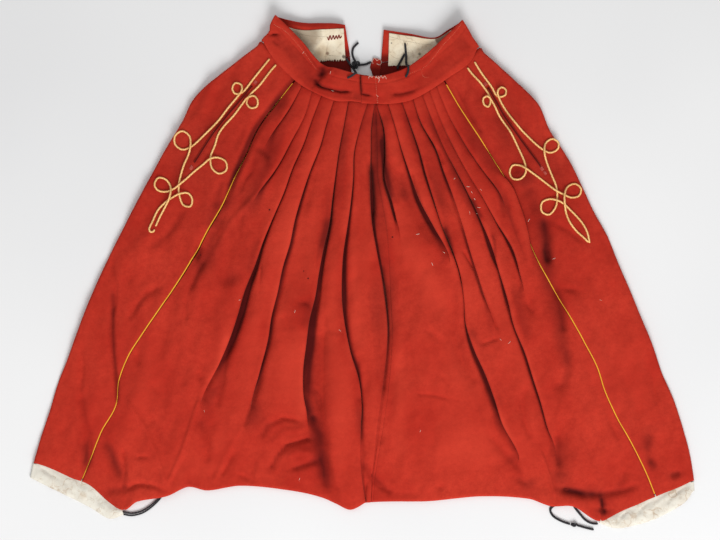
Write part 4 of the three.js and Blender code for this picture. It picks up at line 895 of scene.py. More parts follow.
# back of the band from the side to the laced end: how far along, upper edge, height of the middle and
# rise of the edge
bandBacks = {
    "left": {"along": [0, 0.2, 0.47, 0.73, 1], "x": [-145, -122, -94, -48, -29],
             "y": [433.6, 427, 423, 422, 420], "z": [4, 2.6, 1.3, 1.3, 1.3], "rise": [4, 8, 7, 9, 5]},
    "right": {"along": [0, 0.2, 0.47, 0.75, 1], "x": [168, 146, 121, 80, 37],
              "y": [425, 411, 398, 405, 412], "z": [4, 2.6, 1.3, 1.3, 1.3], "rise": [4, 10, 8, 7, 4]},
}
bandCreases = [
    (4, -6, -160, 402, -151, 402, -140, 402), (4, -2.6, -153, 395, -146, 388, -139, 382),
    (9.5, -1.6, -134, 388, -122, 370, -110, 351),
    (3, -1.3, -139, 428, -126, 417, -109, 397, -97, 380, -85, 362, -75, 348),
    (2.5, 0.9, -144, 422, -129, 412, -112, 393, -100, 377, -88, 359, -78, 344),
    (12, -6, -70, 354, -68, 341, -71, 327), (5.5, -5, -83, 329, -75, 320, -68, 315),
    (4, -6, -80, 319, -68, 313, -51, 309, -36, 305, -19, 306), (13.5, 3, -53, 334, -36, 329, -19, 324),
    (8, 2.4, -63, 320, -46, 315, -31, 314),
    (6, 1.7, -112, 332, -95, 314, -75, 302, -48, 294, -17, 290, 14, 288),
    (3, -6, -3, 335, -2, 317, -1, 303), (3, -4.6, -2, 302, 7, 300, 16, 299),
    (8, -1.8, -100, 351, -92, 334, -83, 319), (8, 1.5, -122, 385, -107, 363, -95, 344),
    (11, 2.2, 41, 326, 58, 321, 73, 324), (5, -3.4, 49, 302, 63, 301, 73, 303, 85, 306, 92, 310),
    (2.5, 0.9, 167, 418, 155, 406, 139, 392, 129, 377, 121, 365, 109, 354, 99, 343),
    (3, -1.3, 160, 419, 148, 407, 133, 393, 122, 378, 114, 368, 100, 357),
    (11, -1.8, 85, 320, 105, 336, 126, 356, 139, 371), (11, 1.3, 107, 320, 133, 341, 158, 368),
    (6, 1.5, 44, 291, 78, 299, 114, 315, 148, 340, 184, 368), (4, -1.6, 21, 329, 24, 307, 26, 285),
    (7, -1.4, 170, 395, 184, 378)
]
bandLaps = [
    (4, 4, -48, 346, -58, 336, -68, 326, -76, 318)
]
bandPaintedShadeAndLight = [
    (14, 0.2, -10, 340, 20, 338, 60, 335), (24, 0.18, 158, 400, 176, 372),
    (17, 0.26, -107, 361, -90, 337, -76, 314), (14.5, 0.25, -136, 392, -119, 375, -104, 354),
    (13, 0.2, -156, 398, -143, 392, -131, 380), (9, 0.3, -66, 349, -63, 339, -71, 327),
    (6, 0.5, -78, 319, -66, 313, -48, 308, -20, 305), (3.5, 0.5, -3, 334, -2, 317, 0, 302, 15, 300),
    (6, 0.24, 49, 303, 65, 302, 78, 304, 92, 310), (20.5, 0.16, 105, 320, 133, 341, 160, 371),
    (10, 0.3, -17, 298, 0, 297),
    (5, -0.3, -167, 387, -138, 354, -116, 331, -99, 313, -82, 301, -51, 291, 3, 283),
    (5, -0.3, 27, 282, 56, 286, 78, 291, 102, 302, 122, 314, 144, 328, 167, 346),
    (14.5, -0.34, -44, 341, -26, 334, -8, 327), (16.5, -0.3, 10, 324, 41, 324, 71, 327),
    (16.5, -0.25, 99, 341, 126, 368, 150, 392), (12, -0.2, -133, 412, -112, 388, -92, 365),
    (10, -0.3, -54, 320, -29, 314)
]


def bandGrid(front, back, end, side):
    f = np.linspace(0, 1, band["across"] + 1)
    rounded = band["crown"] * (1 - (2 * f - 1) ** 6)
    rounded = rounded - band["seamDip"] * np.exp(-((1 - f) / band["seamAt"] - 1) ** 2 / band["seamHalf"])
    t = np.linspace(1, 0, band["frontSteps"] + 1)
    low, high = (np.stack(pathThrough(front[edge], t), axis=1) for edge in ("lower", "upper"))
    grid = np.zeros((len(t), len(f), 3))
    grid[..., :2] = mix(low[:, None], high[:, None], f[None, :, None])
    grid[..., 2] = band["seamZ"] + through(front["rise"], t)[:, None] * f + rounded
    x, y = grid[..., 0], grid[..., 1]
    upperPart = smoothStep(*band["upperPart"], f)[None]
    if side > 0:  # the right end laps over the left
        lapped = smoothStep(*band["lapAlong"], t)[:, None] * mix(band["lapLow"], 1, upperPart)
        grid[..., 2] += band["lapStep"] * lapped
    else:
        grid[..., 2] -= band["underStep"] * smoothStep(*band["underAlong"], t)[:, None] * (1 - upperPart)
    creases = creaseHeight(bandCreases, x, y, bandLaps)
    grid[..., 2] += creases + gentleWaves(x, y, *swells["band"]) * smoothStep(0, band["evenSide"], t)[:, None]
    # painted shade in the band's hollows, with painted shade and painted highlight laid on in bands
    shade = band["wrinkleShade"] * hollowShade(creases) + creaseHeight(bandPaintedShadeAndLight, x, y)
    # the side is pinched where the band creases
    pinch = np.exp(-((f - band["pinchAt"]) / band["pinchHalf"]) ** 2)[None]
    pinch = pinch * (1 - smoothStep(0, band["pinchAlong"], t))[:, None]
    grid[..., 0] -= side * band["notch"] * pinch * (1 if side < 0 else band["notchRight"])
    turns = rolledEdge(grid[-1], band["turnLow"], band["turnSteps"], side * band["turnOut"], 0)[:-1]
    t = np.linspace(0, 1, band["backSteps"] + 1)[1:]
    low = np.stack([mix(front["lower"][0][k], end[k], t) for k in (0, 1)], axis=1)
    high = np.stack([lookUp(back["along"], back[k], t) for k in ("x", "y")], axis=1)
    behind = np.zeros((len(t), len(f), 3))
    behind[..., :2] = mix(low[:, None], high[:, None], f[None, :, None])
    z = np.maximum(band["lowest"], lookUp(back["along"], back["z"], t))[:, None]
    rise = lookUp(back["along"], back["rise"], t)[:, None]
    wave = gentleWaves(behind[..., 0], behind[..., 1], *swells["bandBehind"])
    wave = np.maximum(wave, band["deepest"]) * smoothStep(0, band["evenLow"], f)[None]
    z = z + rise * smoothStep(*band["backRise"], f)[None] + wave
    behind[..., 2] = np.maximum(z, band["lowest"])
    # painted shade on the low inner part of the back of the band and along its upper edge, where these lie in
    # shadow
    inside = band["paintedFoldShade"] * (1 - smoothStep(*band["foldAcross"], f))[None]
    edge = (smoothStep(*band["edgeAcross"], f) * (1 - smoothStep(band["edgeEnd"], 1, f)))[None]
    inside = inside + band["paintedEdgeShade"] * edge * (1 - t[:, None]) ** 0.5
    shade = np.concatenate([shade, np.zeros((len(turns), len(f))), inside])
    return np.concatenate([grid, np.stack(turns), behind]), shade


for half, side in halves:
    grid, shade = bandGrid(bandTables[half], bandBacks[half], bandEnds[half], side)
    bodyMeshes["waistband_" + half] = clothMesh("waistbandCloth_" + half, grid, band["wall"], side > 0,
                                                {"paintedShading": shade})

facing = {"wall": 1.0, "lift": 0.35, "below": 13.2, "deepest": -0.1, "evened": 3, "fraySeed": 6,
          "frayFrom": 0.86, "bendAt": [0, 0.27, 0.65, 1],
          "along": 61, "across": 41}
# bend: how far the upper edge stands above its line; fray: how uneven the lower edge is
facingCorners = {
    "left": {"outerTop": [-132, 417], "outerLow": [-96, 358], "endTop": [-31, 413.5], "endLow": [-28, 361],
             "bend": [0, -5, -3, 0], "fray": 2.2},
    "right": {"outerTop": [153, 411], "outerLow": [120, 352], "endTop": [46, 406], "endLow": [44.5, 351],
              "bend": [0, -14, -7.5, 0], "fray": 0.7},
}


def settle(tree, x, y, passes, start=500):
    # height of the cloth below, evened out so that what lies on it stays smooth
    z = np.array([[topAt(tree, px, py, start) for px, py in zip(rowX, rowY)] for rowX, rowY in zip(x, y)])
    for unused in range(passes):
        padded = np.pad(z, 1, mode="edge")
        around = (padded[:-2, 1:-1] + padded[2:, 1:-1] + padded[1:-1, :-2] + padded[1:-1, 2:]) / 4
        z = np.maximum(z, around)
    return z


def unitGrid(along, across):
    return np.meshgrid(np.linspace(0, 1, along), np.linspace(0, 1, across), indexing="ij")


def facingGrid(corners, half):
    t, f = unitGrid(facing["along"], facing["across"])
    x, y = (mix(mix(corners["outerTop"][k], corners["endTop"][k], t),
                mix(corners["outerLow"][k], corners["endLow"][k], t), f) for k in (0, 1))
    y = y + lookUp(facing["bendAt"], corners["bend"], t) * (1 - f)
    fray = np.random.default_rng(facing["fraySeed"]).uniform(-1, 1, facing["along"])[:, None]
    y += corners["fray"] * fray * np.clip((f - facing["frayFrom"]) / (1 - facing["frayFrom"]), 0, 1)
    tree = heightTree([bodyMeshes["waistband_" + half], bodyMeshes["back_" + half]])
    z = settle(tree, x, y, facing["evened"], facing["below"]) + facing["wall"] / 2 + facing["lift"]
    z += np.maximum(gentleWaves(x, y, *swells["facing"]), facing["deepest"])
    return np.stack([x, y, z], axis=-1)


for half, side in halves:
    grid = facingGrid(facingCorners[half], half)
    bodyMeshes["facing_" + half] = clothMesh("facingCloth_" + half, grid, facing["wall"], side > 0, {})

# a scrap of the back that shows beside the laced end, with painted shade that grows towards its lower end
# under the band
tab = {"top": [[18.4, 363], [20.6, 364.6], [31.6, 362]], "low": [[18, 331], [25, 331], [31.6, 331]],
       "across": [0, 0.4, 1], "bow": -4, "bowEnd": 0.9, "arch": 1.6, "z": 1.7, "wall": 1.8, "lowest": 1.5,
       "steps": (31, 15), "dark": 0.15, "darker": 0.6, "darkFrom": (0.25, 0.7)}
t, f = unitGrid(*tab["steps"])
x, y = (mix(*[lookUp(tab["across"], [point[k] for point in tab[edge]], f) for edge in ("top", "low")], t)
        for k in (0, 1))
x = x + tab["bow"] * np.sin(np.pi * smoothStep(0, tab["bowEnd"], t)) * (1 - f)
z = tab["z"] + tab["arch"] * np.sin(np.pi * f) + gentleWaves(x, y, *swells["tab"])
tabMesh = clothMesh("backScrap", np.stack([x, y, np.maximum(z, tab["lowest"])], axis=-1), tab["wall"], True,
                    {"paintedShading": tab["dark"] + tab["darker"] * smoothStep(*tab["darkFrom"], t)})

cuff = {"wall": 1.4, "tuck": 4, "inset": 1.2, "lowerZ": 0.7, "upperZ": 4.7, "along": 90, "across": 22,
        "puff": 2.6, "puffUneven": 0.35, "puffAcross": (0.12, 1.05), "puffs": 9, "edgeDrop": 1.2,
        "edgeFrom": 0.85, "closed": 0.12, "lowerInset": 0.6, "turnSteps": 7, "foldAcross": (0.1, 0.3),
        "apart": 0.5}
# seam and free edge of each cuff from the outer side to the inner
cuffTables = {
    "left": {"seam": [[-556, -323], [-531, -331], [-496, -347], [-461, -361], [-434, -385], [-407, -402]],
             "edge": [[-561, -349], [-541, -359.5], [-501, -379], [-463, -398], [-430, -417.5],
                      [-405, -411]]},
    "right": {"seam": [[561, -354], [542, -362], [500, -379], [466, -394], [437, -406], [403, -418]],
              "edge": [[562, -371], [545, -392.5], [502, -416.5], [466, -428.5], [432, -434], [403, -425.5]]},
}
cuffCreases = [
    (4, -1.4, -545, -330, -530, -342, -512, -352), (5, -1.5, -508, -352, -495, -366, -486, -380),
    (5, 1.2, -490, -350, -476, -372, -468, -388), (4, -1.5, -458, -366, -448, -384, -440, -398),
    (5, 1.2, -440, -388, -430, -400, -422, -412), (4, -1.4, 545, -366, 528, -378, 515, -394),
    (5, 1.3, 520, -376, 500, -392, 485, -408), (5, -1.5, 494, -384, 474, -400, 462, -418),
    (4, -1.3, 452, -402, 440, -414, 430, -428)
]


def cuffGrid(rows, side):
    f = np.linspace(0, 1, cuff["across"] + 1)
    places = np.linspace(0, 1, cuff["along"] + 1)

    def strip(t, z, inset):
        seam, edge = (np.array(pathThrough(rows[line], t)) for line in ("seam", "edge"))
        share = mix(inset / np.linalg.norm(edge - seam), 1, f)[:, None]
        return np.concatenate([mix(seam[None], edge[None], share), np.full((len(f), 1), z)], axis=1)

    made = [strip(t, cuff["lowerZ"], cuff["inset"] + cuff["lowerInset"]) for t in places[::-1]]
    half = (cuff["upperZ"] - cuff["lowerZ"]) / 2
    for angle in np.linspace(0, math.pi, cuff["turnSteps"] + 1)[1:-1]:
        ring = strip(0, cuff["lowerZ"] + half * (1 - math.cos(angle)), cuff["inset"])
        ring[:, 0] += side * half * math.sin(angle)
        made.append(ring)
    uneven = cuff["puffUneven"]
    for t in places:
        opened = smoothStep(0, cuff["closed"], t)
        ring = strip(t, cuff["upperZ"], mix(cuff["inset"], -cuff["tuck"], opened))
        puff = np.sin(math.pi * smoothStep(*cuff["puffAcross"], f))
        puff = puff * (1 - uneven + uneven * math.sin(cuff["puffs"] * t + side))
        ring[:, 2] += (cuff["puff"] * puff - cuff["edgeDrop"] * smoothStep(cuff["edgeFrom"], 1, f)) * opened
        x, y = ring[:, 0], ring[:, 1]
        folds = creaseHeight(cuffCreases, x, y) + gentleWaves(x, y, *swells["cuff"])
        ring[:, 2] += folds * opened * smoothStep(*cuff["foldAcross"], f)
        ring[:, 2] = np.maximum(ring[:, 2], cuff["lowerZ"] + cuff["wall"] + cuff["apart"])
        made.append(ring)
    return np.stack(made)


for half, side in halves:
    grid = cuffGrid(cuffTables[half], side)
    bodyMeshes["cuff_" + half] = clothMesh("cuffCloth_" + half, grid, cuff["wall"], side < 0, {})
print("waistband, facings and cuffs made")

# the piping is nipped thin where a fold nearly covers it: radius at places along it
piping = {"step": 2.5, "sides": 12, "lift": 0.5, "start": 0.012,
          "left": {"along": [0, 0.03, 0.05, 0.2, 0.25, 0.35, 0.93, 0.96, 1],
                   "radius": [0.6, 0.5, 0.1, 0.08, 0.6, 1, 0.95, 0.7, 0.6]},
          "right": {"along": [0, 0.15, 0.18, 0.21, 0.25, 0.27, 0.42, 0.45, 1],
                    "radius": [0.95, 0.9, 0.25, 0.5, 0.5, 0.25, 0.4, 0.9, 0.9]}}
trimMeshes = {}
for half, side in halves:
    lines = bodyLines[half]
    down = np.linspace(piping["start"], 1, 300)
    x, y = onLine(lines["piping"], down)
    z = crownAt(lines, x, down) - atLeast(lines["piping"], "depth", down)
    z = z + softFolds(x, y, down)[0] + piping["lift"]
    path = smoothLine(np.stack([x, y, z], axis=1)[::3], piping["step"])
    size = lookUp(piping[half]["along"], piping[half]["radius"], np.linspace(0, 1, len(path)))
    trimMeshes["piping_" + half] = tubeMesh("pipingCord_" + half, path, size, piping["sides"])

over = 4.0  # how far the braid is lifted where it crosses itself
braid = {"size": 3.5, "step": 1.6, "sides": 14, "flat": 0.92}
# x and y of each point, and how far it is lifted
braidRoutes = {
    "braid_left_outer": [[-156, 361], [-182, 329], [-203, 304], [-214, 302], [-219, 311], [-214, 320],
        [-204, 317], [-203, 307, over], [-211, 296], [-226, 278], [-244, 255], [-264, 235], [-289, 213],
        [-304, 208], [-316, 217], [-316, 231], [-304, 239], [-292, 231], [-290, 213, over], [-294, 198],
        [-301, 182], [-307, 162], [-310, 145], [-309, 130], [-302, 114], [-290, 112], [-287, 124],
        [-294, 134], [-308, 133, over], [-319, 128], [-332, 119], [-345, 106], [-354, 87], [-359.5, 73],
        [-357.5, 69], [-353, 69], [-350.5, 73]],
    "braid_left_inner": [[-145, 351], [-154, 341], [-173, 316], [-190, 299], [-195, 287], [-188, 278],
        [-178, 280], [-176, 290], [-182, 298], [-193, 295, over], [-203, 284], [-216, 266], [-235, 245],
        [-243, 232], [-248, 216], [-256, 194], [-253, 176], [-241, 167], [-229, 173], [-230, 187],
        [-243, 194], [-256, 192, over], [-268, 183], [-284, 170], [-296, 159], [-309, 148, over],
        [-318, 142], [-330, 137], [-345, 139], [-351, 149], [-345, 160], [-333, 158], [-325, 148],
        [-323, 138, over], [-326, 124, over], [-334, 109], [-343, 92], [-349, 78]],
    "braid_right_outer": [[190, 356], [201, 338], [220, 312], [226, 301], [232, 297], [242, 300],
        [243, 309], [236, 313], [229, 306, over], [233, 292], [254, 259], [282, 228], [304, 209],
        [319, 203], [331, 209], [332, 220], [322, 226], [311, 219], [308, 205, over], [312, 188],
        [321, 164], [328, 146], [330, 128], [327, 110], [316, 98], [304, 103], [304, 118], [316, 124],
        [329, 122, over], [341, 116], [352, 106], [363, 95], [374, 82], [381, 68], [385, 50]],
    "braid_right_inner": [[178, 346], [187, 334], [201, 319], [213, 302], [217, 289], [213, 280],
        [206, 284], [205, 294], [212, 297, over], [221, 287], [232, 266], [251, 238], [266, 207],
        [275, 184], [276, 168], [267, 158], [255, 159], [250, 170], [255, 181], [266, 181],
        [277, 175, over], [289, 167], [304, 156], [316, 147], [328, 138, over], [341, 132], [354, 127],
        [367, 130], [370, 142], [360, 150], [348, 145], [342, 132, over], [342, 116, over], [345, 100],
        [352, 84], [363, 70], [375, 59], [383, 51]],
}


def smoothed(values, reach):
    # values evened out along a line
    kernel = np.hanning(2 * reach + 3)[1:-1]
    padded = np.pad(values, reach, mode="edge")
    return np.convolve(padded, kernel / kernel.sum(), mode="valid")


def laidPath(route, tree, size, step, sink=0.15, reach=0.5, evened=3, deepest=0.2):
    # a cord's middle line resting on what lies below, lifted where the route says so; sink: the share of its
    # size pressed in; deepest: how far evening it out may take it into a rise
    line = smoothLine([[*point, 0][:3] for point in route], step)
    spots = [(0, 0), (reach, 0), (-reach, 0), (0, reach), (0, -reach)]
    ground = np.array([max(topAt(tree, x + dx * size, y + dy * size) for dx, dy in spots)
                       for x, y, lift in line])
    ground = np.maximum(smoothed(ground, evened), ground - deepest)
    line[:, 2] = ground + np.maximum(line[:, 2], 0) + size / 2 - sink * size
    return line


hipTrees = {half: heightTree([bodyMeshes["back_" + half]]) for half, side in halves}
for name, route in braidRoutes.items():
    path = laidPath(route, hipTrees[name.split("_")[1]], braid["size"], braid["step"])
    radius = braid["size"] / 2
    trimMeshes[name] = tubeMesh("goldCord_" + name[6:], path, radius, braid["sides"], braid["flat"])

pocket = {"width": 4.2, "wall": 1.2, "step": 2.6, "lift": 0.1, "crown": 0.9, "dark": 0.3, "slit": 0.3}
pocketRoutes = {"left": [[-186, 315], [-206, 291], [-249, 238], [-283, 186]],
                "right": [[213, 312], [245, 259], [277, 213], [301, 179]]}
for half, route in pocketRoutes.items():
    line = smoothLine(route, pocket["step"])
    direction = np.gradient(line, axis=0)
    direction /= np.linalg.norm(direction, axis=1, keepdims=True)
    f = np.linspace(-0.5, 0.5, 9)
    x = line[:, 0, None] - direction[:, 1, None] * f * pocket["width"]
    y = line[:, 1, None] + direction[:, 0, None] * f * pocket["width"]
    z = settle(hipTrees[half], x, y, 2) + pocket["wall"] / 2 + pocket["lift"]
    z = z + pocket["crown"] * (1 - (2 * f) ** 2)
    # painted shade over the pocket lips, strongest along the slit between them
    values = {"paintedShading": mix(pocket["dark"], 1, np.exp(-(f * np.ones_like(x) / pocket["slit"]) ** 4))}
    grid = np.stack([x, y, z], axis=-1)
    trimMeshes["pocket_" + half] = clothMesh("pocketLip_" + half, grid, pocket["wall"], False, values)
print("piping, braid and pockets made")

# the doubled tie has two thin strands: half the gap between them, and the radius of each
lace = {"size": 3.6, "step": 1.1, "sides": 14, "lift": 0.2, "evened": 4, "doubled": "leg_tie_left",
        "pair": 2.1, "thin": 1.2}
laceRoutes = {
    "waist_lace_left_upper": [[-11.2, 358.2], [-16, 369], [-15, 381], [-6, 391]],
    "waist_lace_left_lower": [[-27, 364], [-22, 356], [-17.8, 350], [-12, 342], [-10, 338], [-15, 333],
        [-25, 327]],
    "waist_lace_left_side": [[-17, 351], [-9, 351.5], [-2, 353], [6, 354], [15.5, 358]],
    "waist_lace_right_upper": [[73, 388], [74, 377], [75, 366], [75, 355], [78, 346], [77, 336],
        [73, 329]],
    "waist_lace_right_lower": [[73.5, 371], [70, 366.5], [66, 359], [62, 352], [60, 345]],
    "leg_tie_left": [[-406.6, -408.6], [-393, -411], [-384, -410], [-374, -407], [-362, -400],
        [-348, -388], [-341, -380]],
    "leg_tie_right_loose": [[336, -391], [327, -396], [320, -403], [324, -413], [338, -422],
        [353.8, -427.8]],
    "leg_tie_right_end": [[364.5, -429.2], [381, -434], [394, -437]],
    "leg_tie_right_cuff": [[355, -388], [362, -400], [370, -410], [379, -420], [390, -426], [401, -427]],
}
waistGround = heightTree([bodyMeshes[part + half] for part in ("waistband_", "facing_", "back_")
                          for half in ("left", "right")])
floorGround = BVHTree.FromPolygons([(-1, -1, 0), (1, -1, 0), (1, 1, 0), (-1, 1, 0)], [(0, 1, 2, 3)])
lacePaths = {}
for name, route in laceRoutes.items():
    ground = waistGround if name.startswith("waist") else floorGround
    path = laidPath(route, ground, lace["size"], lace["step"], 0.0, 0.5, lace["evened"])
    path[:, 2] += lace["lift"]
    lacePaths[name] = path
    if name == lace["doubled"]:
        along = np.gradient(path, axis=0)
        aside = np.stack([-along[:, 1], along[:, 0], 0 * along[:, 0]], axis=1)
        aside /= np.linalg.norm(aside, axis=1, keepdims=True)
        apart = (lace["pair"] * (1 - 0.5 * np.linspace(0, 1, len(path)) ** 2))[:, None]
        strands = [tubeMesh("strand", path + part * aside * apart, lace["thin"], lace["sides"])
                   for part in (-1, 1)]
        trimMeshes[name] = joinMeshes("darkCord_" + name, strands)
    else:
        trimMeshes[name] = tubeMesh("darkCord_" + name, path, lace["size"] / 2, lace["sides"])

knots = {"waist_knot_left": {"at": [-10.3, 353], "size": [15, 15, 8], "ground": waistGround},
         "leg_tie_knot_right": {"at": [360, -428.5], "size": [12, 5, 4.6], "ground": floorGround}}
# points round the knot, those left out where its ends meet, and the width and height of the bare curve
knotForm = {"points": 110, "open": 2, "wide": 7.5, "high": 3.4, "lift": 1.0, "thin": 0.95, "sides": 10}


def knotPath(size):
    # an overhand knot drawn tight
    a = np.linspace(0, math.tau, knotForm["points"])[:-knotForm["open"]]
    x = np.sin(a) + 2 * np.sin(2 * a)
    y = np.cos(a) - 2 * np.cos(2 * a)
    z = -np.sin(3 * a)
    return np.stack([x * size[0] / knotForm["wide"], y * size[1] / knotForm["wide"],
                     z * size[2] / knotForm["high"]], axis=1)


for name, knot in knots.items():
    middle = topAt(knot["ground"], *knot["at"]) + knot["size"][2] / 2 + knotForm["lift"]
    path = knotPath(knot["size"]) + np.array([*knot["at"], middle])
    radius = lace["size"] / 2 * knotForm["thin"]
    trimMeshes[name] = tubeMesh("darkKnot_" + name, path, radius, knotForm["sides"])
print("laces and ties made")


def connect(tree, socket, value):
    # a link where the value comes from another node, a plain value otherwise
    if isinstance(value, bpy.types.NodeSocket):
        tree.links.new(value, socket)
    else:
        socket.default_value = value


def addNode(tree, kind, inputs=None, **settings):
    made = tree.nodes.new(kind)
    for key, value in settings.items():
        setattr(made, key, value)
    for key, value in (inputs or {}).items():
        connect(tree, made.inputs[key], value)
    return made


def newMaterial(name, roughness, sheen=0.0, sheenRoughness=0.5, sheenTint=(1, 1, 1, 1), specular=0.3):
    material = bpy.data.materials.new(name)
    material.use_nodes = True
    tree = material.node_tree
    shader = tree.nodes["Principled BSDF"]
    shader.inputs["Roughness"].default_value = roughness
    shader.inputs["Sheen Weight"].default_value = sheen
    shader.inputs["Sheen Roughness"].default_value = sheenRoughness
    shader.inputs["Sheen Tint"].default_value = sheenTint
    shader.inputs["Specular IOR Level"].default_value = specular
    return material, tree, shader


def mixColour(tree, factor, a, b):
    return addNode(tree, "ShaderNodeMix", {0: factor, 6: a, 7: b}, data_type="RGBA").outputs[2]


def ramp(tree, factor, low, high):
    # 0 below low, 1 above high
    inputs = {"Value": factor, "From Min": low, "From Max": high}
    return addNode(tree, "ShaderNodeMapRange", inputs).outputs[0]


def maths(tree, operation, a, b=0.0):
    return addNode(tree, "ShaderNodeMath", {0: a, 1: b}, operation=operation).outputs[0]


def times(tree, a, b):
    return maths(tree, "MULTIPLY", a, b)


def noise(tree, place, scale, detail=2.0, roughness=0.5):
    inputs = {"Vector": place, "Scale": scale, "Detail": detail, "Roughness": roughness}
    return addNode(tree, "ShaderNodeTexNoise", inputs).outputs["Fac"]


def coordinates(tree, kind="Object"):
    return addNode(tree, "ShaderNodeTexCoord").outputs[kind]


def attribute(tree, name):
    return addNode(tree, "ShaderNodeAttribute", attribute_name=name).outputs["Fac"]


def tint(tree, base, pattern, low, high, share, colour):
    # another colour over the base where the pattern rises from low to high
    return mixColour(tree, times(tree, ramp(tree, pattern, low, high), share), base, colour)


def nearLine(tree, pattern, outer, inner):
    # 1 along the thin lines where a pattern passes its middle
    return ramp(tree, maths(tree, "ABSOLUTE", maths(tree, "SUBTRACT", pattern, 0.5)), outer, inner)


def onPlan(tree, place):
    # the place without its height
    return addNode(tree, "ShaderNodeVectorMath", {0: place, 1: (1, 1, 0)}, operation="MULTIPLY").outputs[0]


def distanceFrom(tree, flat, at):
    centre = (at[0] * mm, at[1] * mm, 0)
    return addNode(tree, "ShaderNodeVectorMath", {0: flat, 1: centre}, operation="DISTANCE").outputs["Value"]


def setSurface(tree, shader, colour, reliefs):
    # reliefs: pattern, strength and height of each, from the coarsest
    tree.links.new(colour, shader.inputs["Base Color"])
    bump = None
    for pattern, strength, height in reliefs:
        inputs = {"Height": pattern, "Strength": strength, "Distance": height}
        if bump:
            inputs["Normal"] = bump
        bump = addNode(tree, "ShaderNodeBump", inputs).outputs[0]
    tree.links.new(bump, shader.inputs["Normal"])


# colours of the wool, with the colours and shares of its painted shade and painted highlight, the twill in
# metres and degrees, moth holes as a place on the plan and a half width
woolLook = {"worn": (0.52, 0.037, 0.019, 1), "plain": (0.415, 0.021, 0.011, 1),
            "deep": (0.030, 0.002, 0.003, 1), "paintedHighlightColour": (0.62, 0.050, 0.026, 1),
            "dull": (0.33, 0.014, 0.008, 1), "napped": (0.33, 0.02, 0.014, 1),
            "holeDark": (0.05, 0.006, 0.006, 1), "paintedHighlightShare": 0.8, "deepShare": 0.88, "holeShare": 0.9,
            "twillPitch": 0.0011, "twillTurn": 55, "twillHeight": 0.00012, "napHeight": 0.0005,
            "softHeight": 0.0012,
            "holes": [((-156.4, 106.2), 2.1), ((-91, -9.9), 1.9), ((-98.6, 2.5), 1.4), ((51.5, 60), 2.0),
                      ((-273.7, 29.8), 1.6)]}


def woolMaterial(name, look):
    material, tree, shader = newMaterial(name, 0.95, 0.12, 0.45, (1, 0.35, 0.25, 1), 0.1)
    place, uv = coordinates(tree), coordinates(tree, "UV")
    nap = noise(tree, place, 420.0, 3.0, 0.7)
    blotch = noise(tree, place, 7.0, 3.0, 0.55)
    colour = mixColour(tree, ramp(tree, blotch, 0.35, 0.68), look["plain"], look["worn"])
    colour = tint(tree, colour, noise(tree, place, 34.0, 3.0, 0.6), 0.42, 0.72, 0.45, look["worn"])
    colour = tint(tree, colour, noise(tree, place, 130.0, 4.0, 0.65), 0.4, 0.68, 0.38, look["dull"])
    colour = tint(tree, colour, nap, 0.45, 0.75, 0.4, look["napped"])
    # painted highlight where the painted shading is below 0, painted shade where it is above 0, over the
    # wool's own colour
    depth = attribute(tree, "paintedShading")
    colour = tint(tree, colour, times(tree, depth, -1.0), 0.0, 1.0, look["paintedHighlightShare"], look["paintedHighlightColour"])
    colour = tint(tree, colour, depth, 0.0, 1.0, look["deepShare"], look["deep"])
    flat = onPlan(tree, place)
    for at, size in look["holes"]:
        away = distanceFrom(tree, flat, at)
        colour = tint(tree, colour, away, size * mm, 0.5 * size * mm, look["holeShare"], look["holeDark"])
    turn = (0, 0, math.radians(look["twillTurn"]))
    turned = addNode(tree, "ShaderNodeMapping", {"Vector": uv, "Rotation": turn}).outputs[0]
    ribs = {"Vector": turned, "Scale": 1 / look["twillPitch"] / 6.28, "Distortion": 1.5, "Detail": 2.0,
            "Detail Scale": 3.0}
    twill = addNode(tree, "ShaderNodeTexWave", ribs).outputs["Fac"]
    soft = noise(tree, place, 90.0, 3.0, 0.6)
    setSurface(tree, shader, colour, [(twill, 0.35, look["twillHeight"]), (nap, 0.5, look["napHeight"]),
                                  (soft, 0.6, look["softHeight"])])
    return material


def cordMaterial(name, colour, dark, strands, pitch, depth, sides=0.0):
    # twisted strands, from the round and the length kept on each cord, with painted shade in the grooves
    # between strands and on the sides of the cord
    material, tree, shader = newMaterial(name, 0.85, 0.2, 0.5, colour, 0.2)
    around, along = attribute(tree, "around"), attribute(tree, "along")
    place = coordinates(tree)
    ways = []
    for way in ("ADD", "SUBTRACT"):
        turn = maths(tree, way, times(tree, around, float(strands)), times(tree, along, math.tau / pitch))
        ways.append(maths(tree, "ABSOLUTE", maths(tree, "SINE", times(tree, turn, 0.5))))
    plait = maths(tree, "MAXIMUM", ways[0], times(tree, ways[1], 0.9))
    # painted shade in the grooves between strands, then painted shade on the cord's sides by the share sides
    shade = mixColour(tree, ramp(tree, plait, 0.1, 0.8), dark, colour)
    shade = tint(tree, shade, maths(tree, "ABSOLUTE", maths(tree, "COSINE", around)), 0.62, 0.96, sides, dark)
    shade = tint(tree, shade, noise(tree, place, 40.0, 3.0, 0.6), 0.45, 0.7, 0.35, dark)
    setSurface(tree, shader, shade, [(plait, 0.6, depth), (noise(tree, place, 900.0, 3.0, 0.7), 0.4, 0.0003)])
    return material


linenLook = {"vein": (0.42, 0.28, 0.17, 1), "crease": (0.46, 0.33, 0.22, 1), "creaseShare": 0.7,
             "weave": 330.0, "weaveHeight": 0.0002, "lumpHeight": 0.0008, "ragged": 1.4}


